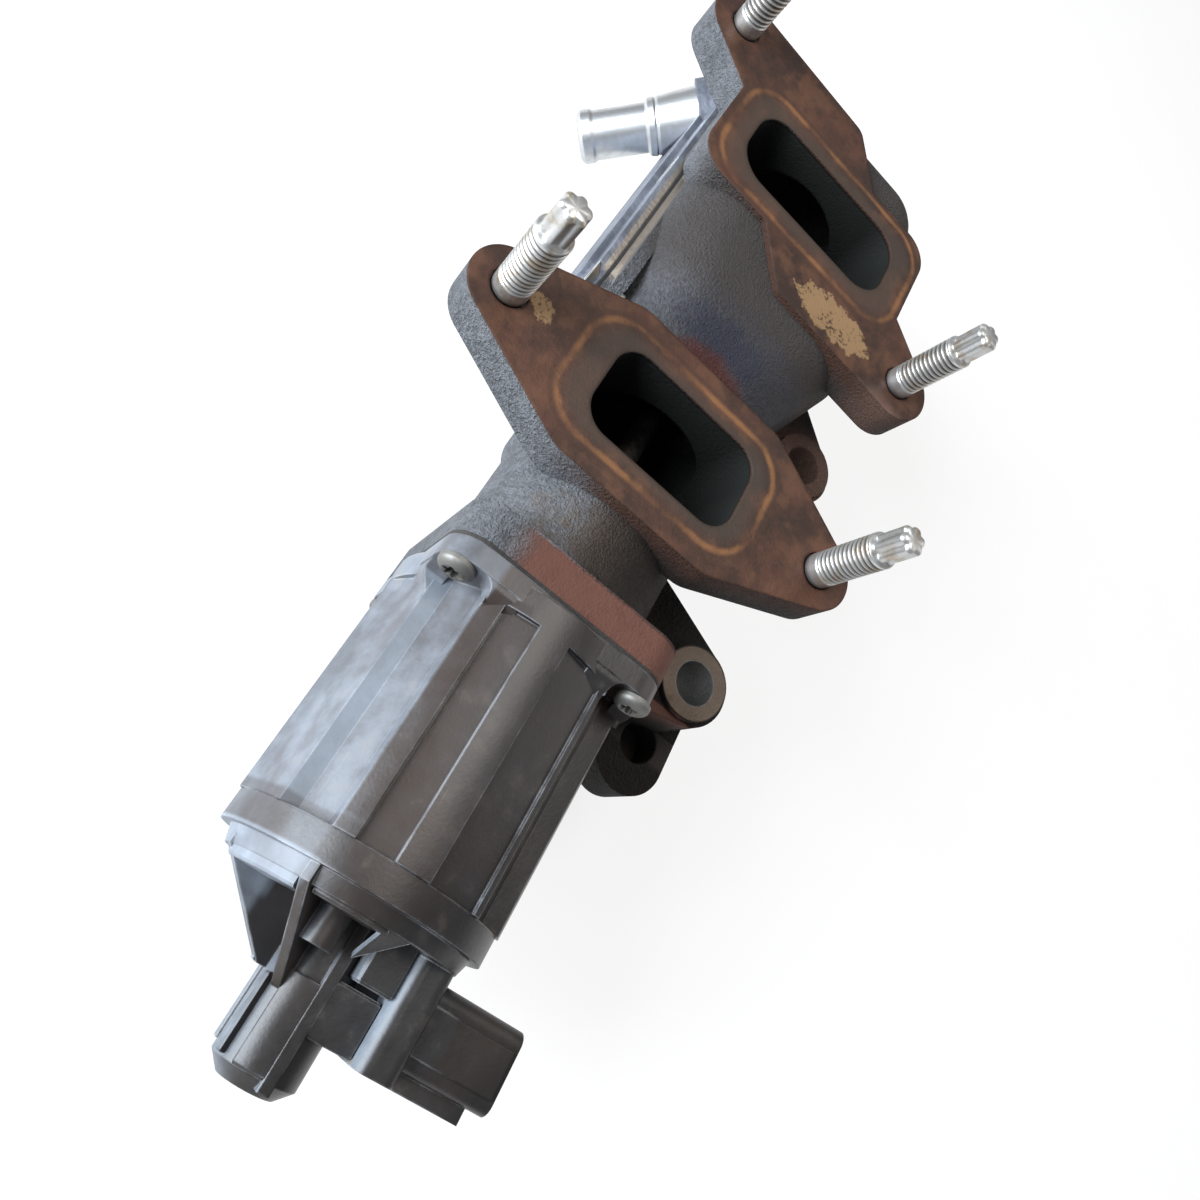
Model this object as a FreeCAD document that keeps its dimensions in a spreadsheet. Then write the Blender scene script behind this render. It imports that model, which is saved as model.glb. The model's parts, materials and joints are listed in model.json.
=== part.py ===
import FreeCAD, Part
import math
import os
import Sketcher

# Exhaust gas recirculation valve: an iron casting with two port flanges, a coolant jacket
# and an electric actuator that pushes a poppet valve off its seat.
# Frame, in millimetres: the origin is the centre of the first port on its sealing face,
# +X runs along the valve stem from the actuator to the second port, +Z points out of the ports.

# Driving dimensions, one alias each
DIMENSIONS = [
    ("axis_depth", 26.0, "valve axis below the port faces"),
    ("running_gap", 0.3, "gap between pieces that move past each other"),
    ("fit_gap", 0.05, "radial gap of a sliding fit"),
    ("lift", 6.0, "travel of the valve from shut to open"),
    # Port flanges
    ("flange_thickness", 10.0, "thickness of both port flanges"),
    ("stud_spacing", 88.6, "distance between the studs of the first flange"),
    ("lobe_radius", 9.0, "radius of the flange round a stud"),
    ("first_port_width", 39.0, "first port across the valve axis"),
    ("first_port_length", 22.5, "first port along the valve axis"),
    ("second_port_width", 49.0, "second port across the valve axis"),
    ("second_port_length", 23.2, "second port along the valve axis"),
    ("first_port_corner", 6.5, "corner radius of the first port"),
    ("second_port_corner", 8.5, "corner radius of the second port"),
    ("port_pitch", 86.9, "distance between the two ports"),
    ("second_port_shift", 1.6, "second port centre to the side of the axis"),
    ("second_stud_x", 25.4, "studs of the second flange from its port, along the axis"),
    ("second_stud_y", 41.4, "studs of the second flange from its port, across the axis"),
    ("second_flange_long", 66.4, "second flange across the axis, without its ears"),
    ("second_flange_wide", 39.0, "second flange along the axis, without its ears"),
    ("ear_reach", 33.6, "ear of the second flange beyond its port centre"),
    # Studs
    ("stud_radius", 4.0, "radius of the stud threads and shank"),
    ("stud_root", 3.7, "radius of the studs inside the flange"),
    ("stud_mouth", 1.0, "depth of the wide mouth of the stud holes"),
    ("stud_collar_room", 4.3, "radius of the wide mouth of the stud holes"),
    ("stud_collar", 4.0, "smooth collar of the studs above the sealing face"),
    ("stud_reach", 27.0, "stud beyond the sealing face"),
    ("stud_drive_radius", 3.3, "radius of the star drive on the stud end"),
    ("stud_drive_length", 7.5, "length of the star drive"),
    # Casting
    ("neck_radius", 22.6, "outside radius of the neck"),
    ("square_half", 25.5, "half the side of the square actuator flange"),
    ("square_corner", 7.0, "corner radius of the square flange"),
    ("square_front", 37.0, "square flange front face, behind the first port centre"),
    ("square_thickness", 8.0, "thickness of the cast square flange"),
    ("trunk_width", 47.4, "port trunk under the first flange, across the axis"),
    ("trunk_length", 35.0, "port trunk under the first flange, along the axis"),
    ("jacket_start", 24.0, "start of the swell towards the jacket"),
    ("jacket_full", 56.0, "end of the swell"),
    ("jacket_end", 121.0, "far end of the casting"),
    ("jacket_side", 34.5, "jacket side away from the cover, from the axis"),
    ("jacket_top", 1.5, "jacket top below the port faces"),
    ("jacket_bottom", 52.5, "jacket bottom below the port faces"),
    ("jacket_corner", 16.0, "corner radius of the jacket section"),
    ("joint_plane", 29.5, "machined joint face of the jacket, from the axis"),
    ("joint_start", 26.0, "start of the joint rim along the axis"),
    ("joint_end", 119.0, "end of the joint rim along the axis"),
    ("joint_top", 10.3, "joint rim top below the port faces"),
    ("joint_bottom", 47.0, "joint rim bottom below the port faces"),
    ("joint_rim", 7.0, "width of the joint rim round the water space"),
    ("water_depth", 4.5, "depth of the water space in the casting"),
    ("gas_radius", 16.5, "radius of the gas passage"),
    ("gas_end", 106.0, "end of the gas passage"),
    ("plug_radius", 18.5, "radius of the plug that closes the machining bore"),
    ("plug_thickness", 5.0, "thickness of the bore plug"),
    ("wall_start", -20.0, "actuator side of the wall that carries the bush"),
    ("wall_end", -12.0, "gas side of the wall that carries the bush"),
    # Mounting lugs
    ("lug_y", 42.0, "mounting lugs to the side of the valve axis"),
    ("near_lug_x", -28.6, "near lug along the axis"),
    ("far_lug_x", 42.6, "far lug along the axis"),
    ("lug_face", 24.0, "lug faces below the port faces"),
    ("lug_thickness", 15.0, "thickness of the lugs"),
    ("lug_hole", 5.2, "radius of the lug holes"),
    ("lug_radius", 9.0, "radius of the machined lug faces"),
    ("foot_x", -46.5, "round end of the foot along the axis"),
    ("foot_y", 43.5, "round end of the foot to the side"),
    ("foot_face", 39.0, "foot top below the port faces"),
    ("foot_thickness", 12.0, "thickness of the foot"),
    # Jacket cover
    ("gasket_thickness", 0.8, "thickness of the flat gaskets"),
    ("cover_thickness", 2.6, "thickness of the pressed cover rim"),
    ("cover_dome", 1.6, "rise of the cover over its rim"),
    ("cover_bolt", 2.0, "radius of the cover screws"),
    ("cover_bolt_inset", 4.2, "cover screws from the edge of the cover"),
    # Coolant nipples
    ("inlet_radius", 6.3, "outside radius of the inlet nipple"),
    ("inlet_bore", 5.0, "bore radius of the inlet nipple"),
    ("inlet_collar", 8.5, "radius of the inlet nipple collar"),
    ("inlet_length", 33.0, "inlet nipple beyond the cover"),
    ("nipple_lip", 0.5, "rise of the lip at the mouth of both nipples"),
    ("inlet_root_x", 111.0, "inlet nipple axis on the cover, along the valve axis"),
    ("inlet_root_depth", 22.5, "inlet nipple axis on the cover, below the port faces"),
    ("inlet_step", 5.0, "cover boss along the inlet nipple"),
    ("inlet_collar_length", 13.0, "length of the inlet nipple collar"),
    ("outlet_x", 60.0, "outlet nipple along the valve axis"),
    ("outlet_y", 20.4, "outlet nipple to the side of the valve axis"),
    ("outlet_radius", 6.0, "outside radius of the outlet nipple"),
    ("outlet_length", 20.0, "outlet nipple below the jacket"),
    # Valve
    ("stem_radius", 3.0, "radius of the valve stem"),
    ("seat_x", 26.0, "start of the seat ring"),
    ("seat_length", 6.0, "length of the seat ring"),
    ("seat_bore", 12.5, "throat radius of the seat ring"),
    ("seat_outer", 18.0, "outside radius of the seat ring"),
    ("disc_radius", 14.6, "radius of the valve disc"),
    ("disc_thickness", 3.0, "rim thickness of the valve disc"),
    ("bush_radius", 6.5, "outside radius of the stem bush"),
    ("spring_radius", 10.5, "mean radius of the return spring"),
    ("spring_wire", 1.0, "radius of the return spring wire"),
    ("spring_turns", 4.0, "turns of the return spring"),
    ("stem_end", -58.0, "actuator end of the valve stem"),
    ("retainer_radius", 13.5, "radius of the spring retainer"),
    # Actuator
    ("housing_radius", 27.0, "outside radius of the actuator housing"),
    ("housing_bore", 21.4, "bore of the actuator housing"),
    ("housing_end", -99.0, "seam between housing and cap"),
    ("plate_thickness", 4.5, "thickness of the housing flange"),
    ("screw_offset", 21.4, "housing screws from the axis, both ways"),
    ("screw_radius", 2.5, "radius of the housing screws"),
    ("screw_head", 4.8, "radius of the screw heads"),
    ("channel_floor", 23.6, "floor of the screw channels, from the axis"),
    ("channel_wall", 14.5, "walls of the screw channels, from the axis, both ways"),
    ("panel_floor", 25.7, "floor of the sunk panels, from the axis"),
    ("rotor_radius", 13.0, "radius of the rotor magnet"),
    ("rotor_bore", 8.0, "bore of the rotor magnet"),
    ("rotor_start", -88.0, "rear end of the rotor magnet"),
    ("rotor_end", -62.0, "front end of the rotor magnet"),
    ("screw_shaft", 3.6, "radius of the lead screw"),
    ("bearing_outer", 11.0, "outside radius of both bearings"),
    ("bearing_bore", 6.5, "bore radius of both bearings"),
    ("bearing_width", 5.0, "width of both bearings"),
    # End cap
    ("rim_radius", 26.4, "radius of the cap rim"),
    ("rim_length", 5.5, "length of the cap rim"),
    ("cap_wall", 3.0, "wall of the cap"),
    ("boss_radius", 7.8, "outside radius of the sensor boss"),
    ("boss_shift", 1.6, "sensor boss off the valve axis towards the socket"),
    ("boss_rise", 1.0, "sensor boss off the valve axis towards the port faces"),
    ("boss_bore", 4.3, "bore radius of the sensor boss, on the valve axis"),
    ("boss_end", -137.0, "end of the sensor boss"),
    ("tower_end", -127.0, "end of the tower"),
    ("tower_inner", 12.5, "tower side next to the boss, from the axis"),
    ("tower_outer", 20.5, "tower side next to the plug socket, from the axis"),
    ("tower_top", 13.0, "tower top below the port faces"),
    ("socket_reach", 39.5, "mouth of the plug socket, from the axis"),
    ("socket_top", 17.0, "socket top below the port faces"),
    ("socket_height", 18.0, "height of the plug socket"),
    ("socket_start", -109.5, "socket side next to the rim"),
    ("socket_length", 15.0, "socket along the valve axis"),
    ("socket_wall", 1.6, "wall of the plug socket"),
    ("plunger_radius", 3.0, "radius of the sensor plunger"),
]

document = FreeCAD.newDocument("exhaust_gas_valve")
sheet = document.addObject("Spreadsheet::Sheet", "Sizes")
for row, (alias, number, meaning) in enumerate(DIMENSIONS, start=1):
    sheet.set("A%d" % row, meaning)
    sheet.set("B%d" % row, str(number))
    sheet.setAlias("B%d" % row, alias)
document.recompute()


class Size:
    # A length with its value and the expression that gives it from the sheet
    def __init__(self, value, text):
        self.value = float(value)
        self.text = text

    def join(self, other, sign, swap=False):
        first, second = (size(other), self) if swap else (self, size(other))
        results = {
            "+": lambda: first.value + second.value,
            "-": lambda: first.value - second.value,
            "*": lambda: first.value * second.value,
            "/": lambda: first.value / second.value,
        }
        return Size(results[sign](), "(%s %s %s)" % (first.text, sign, second.text))

    def __add__(self, other):
        return self.join(other, "+")

    def __radd__(self, other):
        return self.join(other, "+", True)

    def __sub__(self, other):
        return self.join(other, "-")

    def __rsub__(self, other):
        return self.join(other, "-", True)

    def __mul__(self, other):
        return self.join(other, "*")

    def __rmul__(self, other):
        return self.join(other, "*", True)

    def __truediv__(self, other):
        return self.join(other, "/")

    def __neg__(self):
        return size(0) - self

    def __float__(self):
        return self.value


def size(value):
    if isinstance(value, Size):
        return value
    return Size(value, "%.6f" % value if value >= 0 else "(0 - %.6f)" % -value)


class Sizes:
    # The sheet's values by alias
    def __getattr__(self, alias):
        return Size(sheet.get(alias), "Sizes." + alias)


dim = Sizes()


def bind(item, property_name, value):
    value = size(value)
    if "." not in property_name:
        setattr(item, property_name, value.value)
    if "Sizes." in value.text:
        item.setExpression(property_name, value.text)


def place(item, base, axis=(0, 0, 1), angle=0):
    rotation = FreeCAD.Rotation(FreeCAD.Vector(*axis), angle)
    numbers = [float(size(value)) for value in base]
    item.Placement = FreeCAD.Placement(FreeCAD.Vector(*numbers), rotation)
    for letter, value in zip("xyz", base):
        bind(item, "Placement.Base." + letter, value)
    return item


# Solids from primitives


def box(name, start, span):
    item = document.addObject("Part::Box", name)
    for side, value in zip(("Length", "Width", "Height"), span):
        bind(item, side, value)
    return place(item, start)


TURN_TO = {"x": ((0, 1, 0), 90), "y": ((1, 0, 0), -90), "z": ((0, 0, 1), 0), "-z": ((1, 0, 0), 180)}


def rod(name, start, radius, length, direction="x"):
    item = document.addObject("Part::Cylinder", name)
    bind(item, "Radius", radius)
    bind(item, "Height", length)
    return place(item, start, *TURN_TO[direction])


def on_axis(x):
    return (x, 0, -dim.axis_depth)


def fused(name, items):
    item = document.addObject("Part::MultiFuse", name)
    item.Shapes = items
    item.Refine = True
    return item


def chained(name, items):
    # A union made one piece at a time, for pieces with many touching faces
    total = items[0]
    for number, item in enumerate(items[1:], start=1):
        step = document.addObject("Part::Fuse", "%s_%d" % (name, number))
        step.Base, step.Tool = total, item
        total = step
    return total


def cut(name, base, tools):
    item = document.addObject("Part::Cut", name)
    item.Base = base
    item.Tool = tools[0] if len(tools) == 1 else fused(name + "_tools", tools)
    item.Refine = True
    return item


def box_round_axis(name, x, radial, across, span, angle):
    # A box laid out along the axis, outwards and across, then turned about the valve axis
    item = document.addObject("Part::Box", name)
    for side, value in zip(("Length", "Width", "Height"), span):
        bind(item, side, value)
    c, s = math.cos(math.radians(angle)), math.sin(math.radians(angle))
    across, radial = size(across), size(radial)
    base = (x, radial * c - across * s, radial * s + across * c - dim.axis_depth)
    return place(item, base, (1, 0, 0), angle)


# Solids from sketches


def plane_of(body, role):
    return [plane for plane in body.Origin.OriginFeatures if plane.Role == role][0]


def new_sketch(body, name, role, offset=0):
    sketch = body.newObject("Sketcher::SketchObject", name)
    sketch.AttachmentSupport = [(plane_of(body, role), "")]
    sketch.MapMode = "FlatFace"
    offset = size(offset)
    if offset.value != 0:
        sketch.AttachmentOffset = FreeCAD.Placement(FreeCAD.Vector(0, 0, offset.value), FreeCAD.Rotation())
        if "Sizes." in offset.text:
            sketch.setExpression("AttachmentOffset.Base.z", offset.text)
    return sketch


def pin_point(sketch, geometry, position, u, v):
    # Ties a point of the sketch to the sheet
    for kind, value, line in (("DistanceX", u, -2), ("DistanceY", v, -1)):
        value = size(value)
        if value.value == 0:
            sketch.addConstraint(Sketcher.Constraint("PointOnObject", geometry, position, line))
            continue
        number = sketch.addConstraint(Sketcher.Constraint(kind, -1, 1, geometry, position, value.value))
        if "Sizes." in value.text:
            sketch.setExpression("Constraints[%d]" % number, value.text)


def vector(u, v):
    return FreeCAD.Vector(float(size(u)), float(size(v)), 0)


def draw_polygon(sketch, points):
    first = sketch.GeometryCount
    count = len(points)
    for number in range(count):
        start, end = points[number], points[(number + 1) % count]
        sketch.addGeometry(Part.LineSegment(vector(*start), vector(*end)), False)
    for number in range(count):
        after = first + (number + 1) % count
        sketch.addConstraint(Sketcher.Constraint("Coincident", first + number, 2, after, 1))
    for number, point in enumerate(points):
        pin_point(sketch, first + number, 1, *point)


def draw_hull(sketch, circles):
    # The band round a ring of circles, given anticlockwise: an arc on each, tangent lines between
    first = sketch.GeometryCount
    count = len(circles)
    spots = [(float(size(u)), float(size(v)), float(size(r))) for u, v, r in circles]
    normals = []
    for number in range(count):
        u, v, r = spots[number]
        next_u, next_v, next_r = spots[(number + 1) % count]
        distance = math.hypot(next_u - u, next_v - v)
        heading = math.atan2(next_v - v, next_u - u)
        normals.append(heading - math.acos((r - next_r) / distance))
    for number in range(count):
        u, v, r = spots[number]
        circle = Part.Circle(FreeCAD.Vector(u, v, 0), FreeCAD.Vector(0, 0, 1), r)
        start, end = normals[number - 1], normals[number]
        while end < start:
            end += 2 * math.pi
        sketch.addGeometry(Part.ArcOfCircle(circle, start, end), False)
    for number in range(count):
        after = (number + 1) % count
        angle = normals[number]
        ends = [
            FreeCAD.Vector(u + r * math.cos(angle), v + r * math.sin(angle), 0)
            for u, v, r in (spots[number], spots[after])
        ]
        sketch.addGeometry(Part.LineSegment(*ends), False)
    for number, (u, v, r) in enumerate(circles):
        pin_point(sketch, first + number, 3, u, v)
        radius = size(r)
        place_in_list = sketch.addConstraint(Sketcher.Constraint("Radius", first + number, radius.value))
        if "Sizes." in radius.text:
            sketch.setExpression("Constraints[%d]" % place_in_list, radius.text)
    for number in range(count):
        line = first + count + number
        sketch.addConstraint(Sketcher.Constraint("Tangent", first + number, 2, line, 1))
        sketch.addConstraint(Sketcher.Constraint("Tangent", line, 2, first + (number + 1) % count, 1))


def new_body(name):
    return document.addObject("PartDesign::Body", name)


def pad(body, sketch, length, back=False):
    item = body.newObject("PartDesign::Pad", sketch.Name + "_pad")
    item.Profile = sketch
    bind(item, "Length", length)
    item.Reversed = back
    return item


def hull_pad(body, name, circles, top, thickness, role="XY_Plane"):
    # A plate with a rounded outline, from its top face down
    sketch = new_sketch(body, name, role, top)
    draw_hull(sketch, circles)
    return pad(body, sketch, thickness, back=True)


def hull_plate(name, circles, top, thickness, role="XY_Plane"):
    body = new_body(name)
    hull_pad(body, name + "_outline", circles, top, thickness, role)
    return body


def turned(name, profile, base=None):
    # A piece turned about the valve axis from a profile of (along, radius) points
    body = new_body(name)
    sketch = new_sketch(body, name + "_profile", "XY_Plane")
    draw_polygon(sketch, profile)
    spin = body.newObject("PartDesign::Revolution", name + "_turning")
    spin.Profile = sketch
    spin.ReferenceAxis = (sketch, ["H_Axis"])
    spin.Angle = 360
    return place(body, base or on_axis(0))


def tube_profile(start, length, inner, outer):
    end = start + length
    return [(start, inner), (end, inner), (end, outer), (start, outer)]


def rounded_box_circles(low_u, high_u, low_v, high_v, r):
    left, right = low_u + r, high_u - r
    low, high = low_v + r, high_v - r
    return [(left, low, r), (right, low, r), (right, high, r), (left, high, r)]


# Section planes across the valve axis: in a YZ plane a sketch reads (Y, Z)


def across_axis(half_width, half_height, r):
    low, high = -dim.axis_depth - half_height, -dim.axis_depth + half_height
    return rounded_box_circles(-half_width, half_width, low, high, r)


pieces = []


def piece(item, label):
    item.Label = label
    pieces.append(item)
    return item


# Port flanges


def first_flange():
    lobe = dim.stud_spacing / 2
    wide = dim.first_port_length / 2 + 9.5
    tall = dim.first_port_width / 2 + 8.5
    r = 10
    circles = [
        (0, -lobe, dim.lobe_radius),
        (wide - r, -(tall - r), r),
        (wide - r, tall - r, r),
        (0, lobe, dim.lobe_radius),
        (-(wide - r), tall - r, r),
        (-(wide - r), -(tall - r), r),
    ]
    return hull_plate("first_flange", circles, 0, dim.flange_thickness)


def second_flange():
    body = new_body("second_flange")
    x, y = dim.port_pitch, -dim.second_port_shift
    half_x, half_y, r = dim.second_flange_wide / 2, dim.second_flange_long / 2, 8
    plate = rounded_box_circles(x - half_x, x + half_x, y - half_y, y + half_y, r)
    hull_pad(body, "second_flange_plate", plate, 0, dim.flange_thickness)
    for sign in (1, -1):
        ear = [
            (x - sign * 2, y + sign * 24, 4),
            (x + sign * 9, y - sign * 14, 4),
            (x + sign * (dim.ear_reach - 4), y + sign * 3, 4),
            (x + sign * dim.second_stud_x, y + sign * dim.second_stud_y, dim.lobe_radius + 0.8),
            (x + sign * 10, y + sign * 30, 3),
        ]
        name = "second_flange_ear" if sign > 0 else "second_flange_far_ear"
        hull_pad(body, name, ear, 0, dim.flange_thickness)
    return body


def stud_places():
    x, y = dim.port_pitch, -dim.second_port_shift
    half = dim.stud_spacing / 2
    return [
        (size(0), half),
        (size(0), -half),
        (x - dim.second_stud_x, y - dim.second_stud_y),
        (x + dim.second_stud_x, y + dim.second_stud_y),
    ]


# Main casting


def jacket():
    low, high = -dim.jacket_bottom, -dim.jacket_top
    circles = rounded_box_circles(-dim.jacket_side, dim.joint_plane, low, high, dim.jacket_corner)
    body = new_body("jacket")
    sketch = new_sketch(body, "jacket_outline", "YZ_Plane", dim.jacket_full)
    draw_hull(sketch, circles)
    pad(body, sketch, dim.jacket_end - dim.jacket_full)
    document.recompute()
    end = dim.jacket_end.value
    edges = [
        "Edge%d" % number
        for number, edge in enumerate(body.Shape.Edges, start=1)
        if all(abs(vertex.Point.x - end) < 0.01 for vertex in edge.Vertexes)
    ]
    straight = body.Tip
    rounding = body.newObject("PartDesign::Fillet", "jacket_end_rounding")
    rounding.Base = (straight, edges)
    rounding.Radius = 6
    return body


def lofted(name, sections):
    # A skin between hull outlines in planes across the valve axis
    body = new_body(name)
    sketches = []
    for number, (x, circles) in enumerate(sections, start=1):
        sketch = new_sketch(body, "%s_section_%d" % (name, number), "YZ_Plane", x)
        draw_hull(sketch, circles)
        sketches.append(sketch)
    loft = body.newObject("PartDesign::AdditiveLoft", name + "_loft")
    loft.Profile = sketches[0]
    loft.Sections = sketches[1:]
    loft.Ruled = True
    return body


def swell():
    # The casting widens from the round neck to the jacket
    low, high = -dim.jacket_bottom, -dim.jacket_top
    near = across_axis(dim.neck_radius, dim.neck_radius, dim.neck_radius - 2)
    far = rounded_box_circles(-dim.jacket_side, dim.joint_plane, low, high, dim.jacket_corner)
    return lofted("swell", [(dim.jacket_start, near), (dim.jacket_full, far)])


def neck_flare():
    # The neck runs out into the square flange
    root, end = dim.neck_radius + 1.6, dim.neck_radius - 0.3
    square = across_axis(root, root, root - 6)
    near = across_axis(end, end, end - 1)
    return lofted("neck_flare", [(-dim.square_front - 1, square), (-dim.square_front + 7, near)])


def port_trunk():
    half_length, half_width = dim.trunk_length / 2, dim.trunk_width / 2
    circles = rounded_box_circles(-half_length, half_length, -half_width, half_width, 9)
    return hull_plate("port_trunk", circles, -dim.flange_thickness + 1, dim.axis_depth - 5)


def sideways_plate(name, circles, inner, thickness):
    # A plate in a plane across Y, its inner face at the given Y
    body = new_body(name)
    sketch = new_sketch(body, name + "_outline", "XZ_Plane", -(inner + thickness))
    draw_hull(sketch, circles)
    pad(body, sketch, thickness)
    return body


def side_plate(name, inset, inner, thickness):
    # A rounded plate that follows the joint rim
    start, end = dim.joint_start + inset, dim.joint_end - inset
    low, high = -dim.joint_bottom + inset, -dim.joint_top - inset
    return sideways_plate(name, rounded_box_circles(start, end, low, high, 9 - inset / 2), inner, thickness)


def cover_bolt_places():
    inset = dim.cover_bolt_inset
    low_z, high_z = -dim.joint_bottom + inset, -dim.joint_top - inset
    start, end = dim.joint_start + inset, dim.joint_end - inset
    middle = (start + end) / 2
    return [(x, z) for x in (start, middle, end) for z in (high_z, low_z)]


def lug(name, x, reach_x, reach_y):
    top, thickness = -dim.lug_face, dim.lug_thickness
    ring = rod(name + "_ring", (x, -dim.lug_y, top - thickness), dim.lug_radius, thickness, "z")
    circles = [(x, -dim.lug_y, dim.lug_radius + 1), (x + reach_x, reach_y, 9), (x - 7, reach_y, 9)]
    if reach_x < 0:
        circles = [(x, -dim.lug_y, dim.lug_radius + 1), (x + 7, reach_y, 9), (x + reach_x, reach_y, 9)]
    arm = hull_plate(name + "_arm", circles, top - 1.5, thickness - 1.5)
    return [ring, arm]


def foot():
    circles = [
        (dim.near_lug_x, -dim.lug_y, dim.lug_radius + 1),
        (dim.near_lug_x - 1, -20, 8),
        (dim.foot_x, -dim.foot_y, 9),
    ]
    ordered = [circles[2], circles[0], circles[1]]
    return hull_plate("foot", ordered, -dim.foot_face, dim.foot_thickness)


def port_slot(name, x, y, width, length, r):
    circles = rounded_box_circles(x - length / 2, x + length / 2, y - width / 2, y + width / 2, r)
    return hull_plate(name, circles, 1, dim.axis_depth + 1)


def casting():
    square = across_axis(dim.square_half, dim.square_half, dim.square_corner)
    flange_start = -dim.square_front - dim.square_thickness
    square_flange = hull_plate("square_flange", square, -dim.square_front, dim.square_thickness, "YZ_Plane")
    neck = rod("neck", on_axis(-dim.square_front), dim.neck_radius, dim.square_front + dim.jacket_start)
    flare = neck_flare()
    joint_rim = side_plate("joint_rim", size(0), dim.joint_plane - 5, size(5))
    outlet = (dim.outlet_x, dim.outlet_y)
    outlet_boss = rod("outlet_boss", outlet + (-dim.jacket_bottom - 2,), dim.outlet_radius + 2.6, 16, "z")
    solid = [first_flange(), second_flange(), swell(), jacket(), neck, flare]
    solid += [square_flange, joint_rim, outlet_boss, foot(), port_trunk()]
    solid += lug("near_lug", dim.near_lug_x, 10, -18)
    solid += lug("far_lug", dim.far_lug_x, 14, -26)
    y = -dim.second_port_shift
    first_port = (dim.first_port_width, dim.first_port_length)
    second_port = (dim.second_port_width, dim.second_port_length)
    hollow = [
        port_slot("first_slot", size(0), size(0), *first_port, dim.first_port_corner),
        port_slot("second_slot", dim.port_pitch, y, *second_port, dim.second_port_corner),
        rod("gas_bore", on_axis(dim.wall_end), dim.gas_radius, dim.gas_end - dim.wall_end),
        rod("seat_pocket", on_axis(dim.seat_x), dim.seat_outer, dim.gas_end - dim.seat_x),
        rod("machining_bore", on_axis(dim.gas_end), dim.plug_radius, dim.jacket_end - dim.gas_end + 1),
        rod("spring_space", on_axis(flange_start - 1), dim.gas_radius, dim.wall_start - flange_start + 1),
        rod("bush_bore", on_axis(dim.wall_start - 1), dim.bush_radius, dim.wall_end - dim.wall_start + 2),
    ]
    water = rounded_box_circles(
        dim.joint_start + dim.joint_rim + 3,
        dim.joint_end - dim.joint_rim,
        -dim.joint_bottom + dim.joint_rim,
        -dim.joint_top - dim.joint_rim,
        5,
    )
    water_body = new_body("water_space")
    sketch = new_sketch(water_body, "water_outline", "XZ_Plane", -(dim.joint_plane + 1))
    draw_hull(sketch, water)
    pad(water_body, sketch, dim.water_depth + 1)
    hollow.append(water_body)
    under = -dim.jacket_bottom - 3
    hollow.append(rod("outlet_hole", (dim.outlet_x, dim.outlet_y + 2.4, under), 3.4, 18, "z"))
    hollow.append(rod("outlet_seat", outlet + (under,), dim.outlet_radius, 9, "z"))
    for number, (x, y) in enumerate(stud_places(), start=1):
        hollow.append(rod("stud_hole_%d" % number, (x, y, -dim.flange_thickness - 1), dim.stud_root, 20, "z"))
        hollow.append(rod("stud_mouth_%d" % number, (x, y, -dim.stud_mouth), dim.stud_collar_room, 10, "z"))
    for number, (x, z) in enumerate(cover_bolt_places(), start=1):
        hollow.append(rod("cover_hole_%d" % number, (x, dim.joint_plane - 6, z), dim.cover_bolt, 8, "y"))
    for number, (y, z) in enumerate(screw_places(), start=1):
        length = dim.square_thickness + 2
        hollow.append(rod("flange_hole_%d" % number, (flange_start - 1, y, z), dim.screw_radius, length))
    for name, x in (("near_hole", dim.near_lug_x), ("far_hole", dim.far_lug_x)):
        base = (x, -dim.lug_y, -dim.lug_face - dim.lug_thickness - 20)
        hollow.append(rod(name, base, dim.lug_hole, dim.lug_thickness + 22, "z"))
    hollow.append(rod("foot_pocket", (dim.foot_x + 4, -dim.foot_y, -dim.foot_face - 9), 5, 10, "z"))
    return cut("casting", fused("casting_solid", solid), hollow)


def screw_places():
    offset, depth = dim.screw_offset, dim.axis_depth
    return [(sy * offset, sz * offset - depth) for sy, sz in ((1, 1), (-1, 1), (-1, -1), (1, -1))]


# Jacket cover, its bolts and the coolant nipples


def rim_holes(name, start, length, radius):
    holes = []
    for number, (x, z) in places(cover_bolt_places()):
        holes.append(rod("%s_hole_%d" % (name, number), (x, start, z), radius, length, "y"))
    return holes


def places(spots):
    return list(enumerate(spots, start=1))


def jacket_gasket():
    plate = side_plate("gasket_plate", size(0), dim.joint_plane, dim.gasket_thickness)
    inner = side_plate("gasket_window", dim.joint_rim, dim.joint_plane - 1, dim.gasket_thickness + 2)
    holes = rim_holes("gasket", dim.joint_plane - 1, dim.gasket_thickness + 2, dim.cover_bolt)
    return cut("gasket_cut", plate, [inner] + holes)


def cover_trim(name):
    # The space on the casting's side of the cover
    inner = dim.joint_plane + dim.gasket_thickness
    return box(name, (dim.joint_start, inner - 30, -90), (dim.joint_end, 30, 90))


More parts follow.
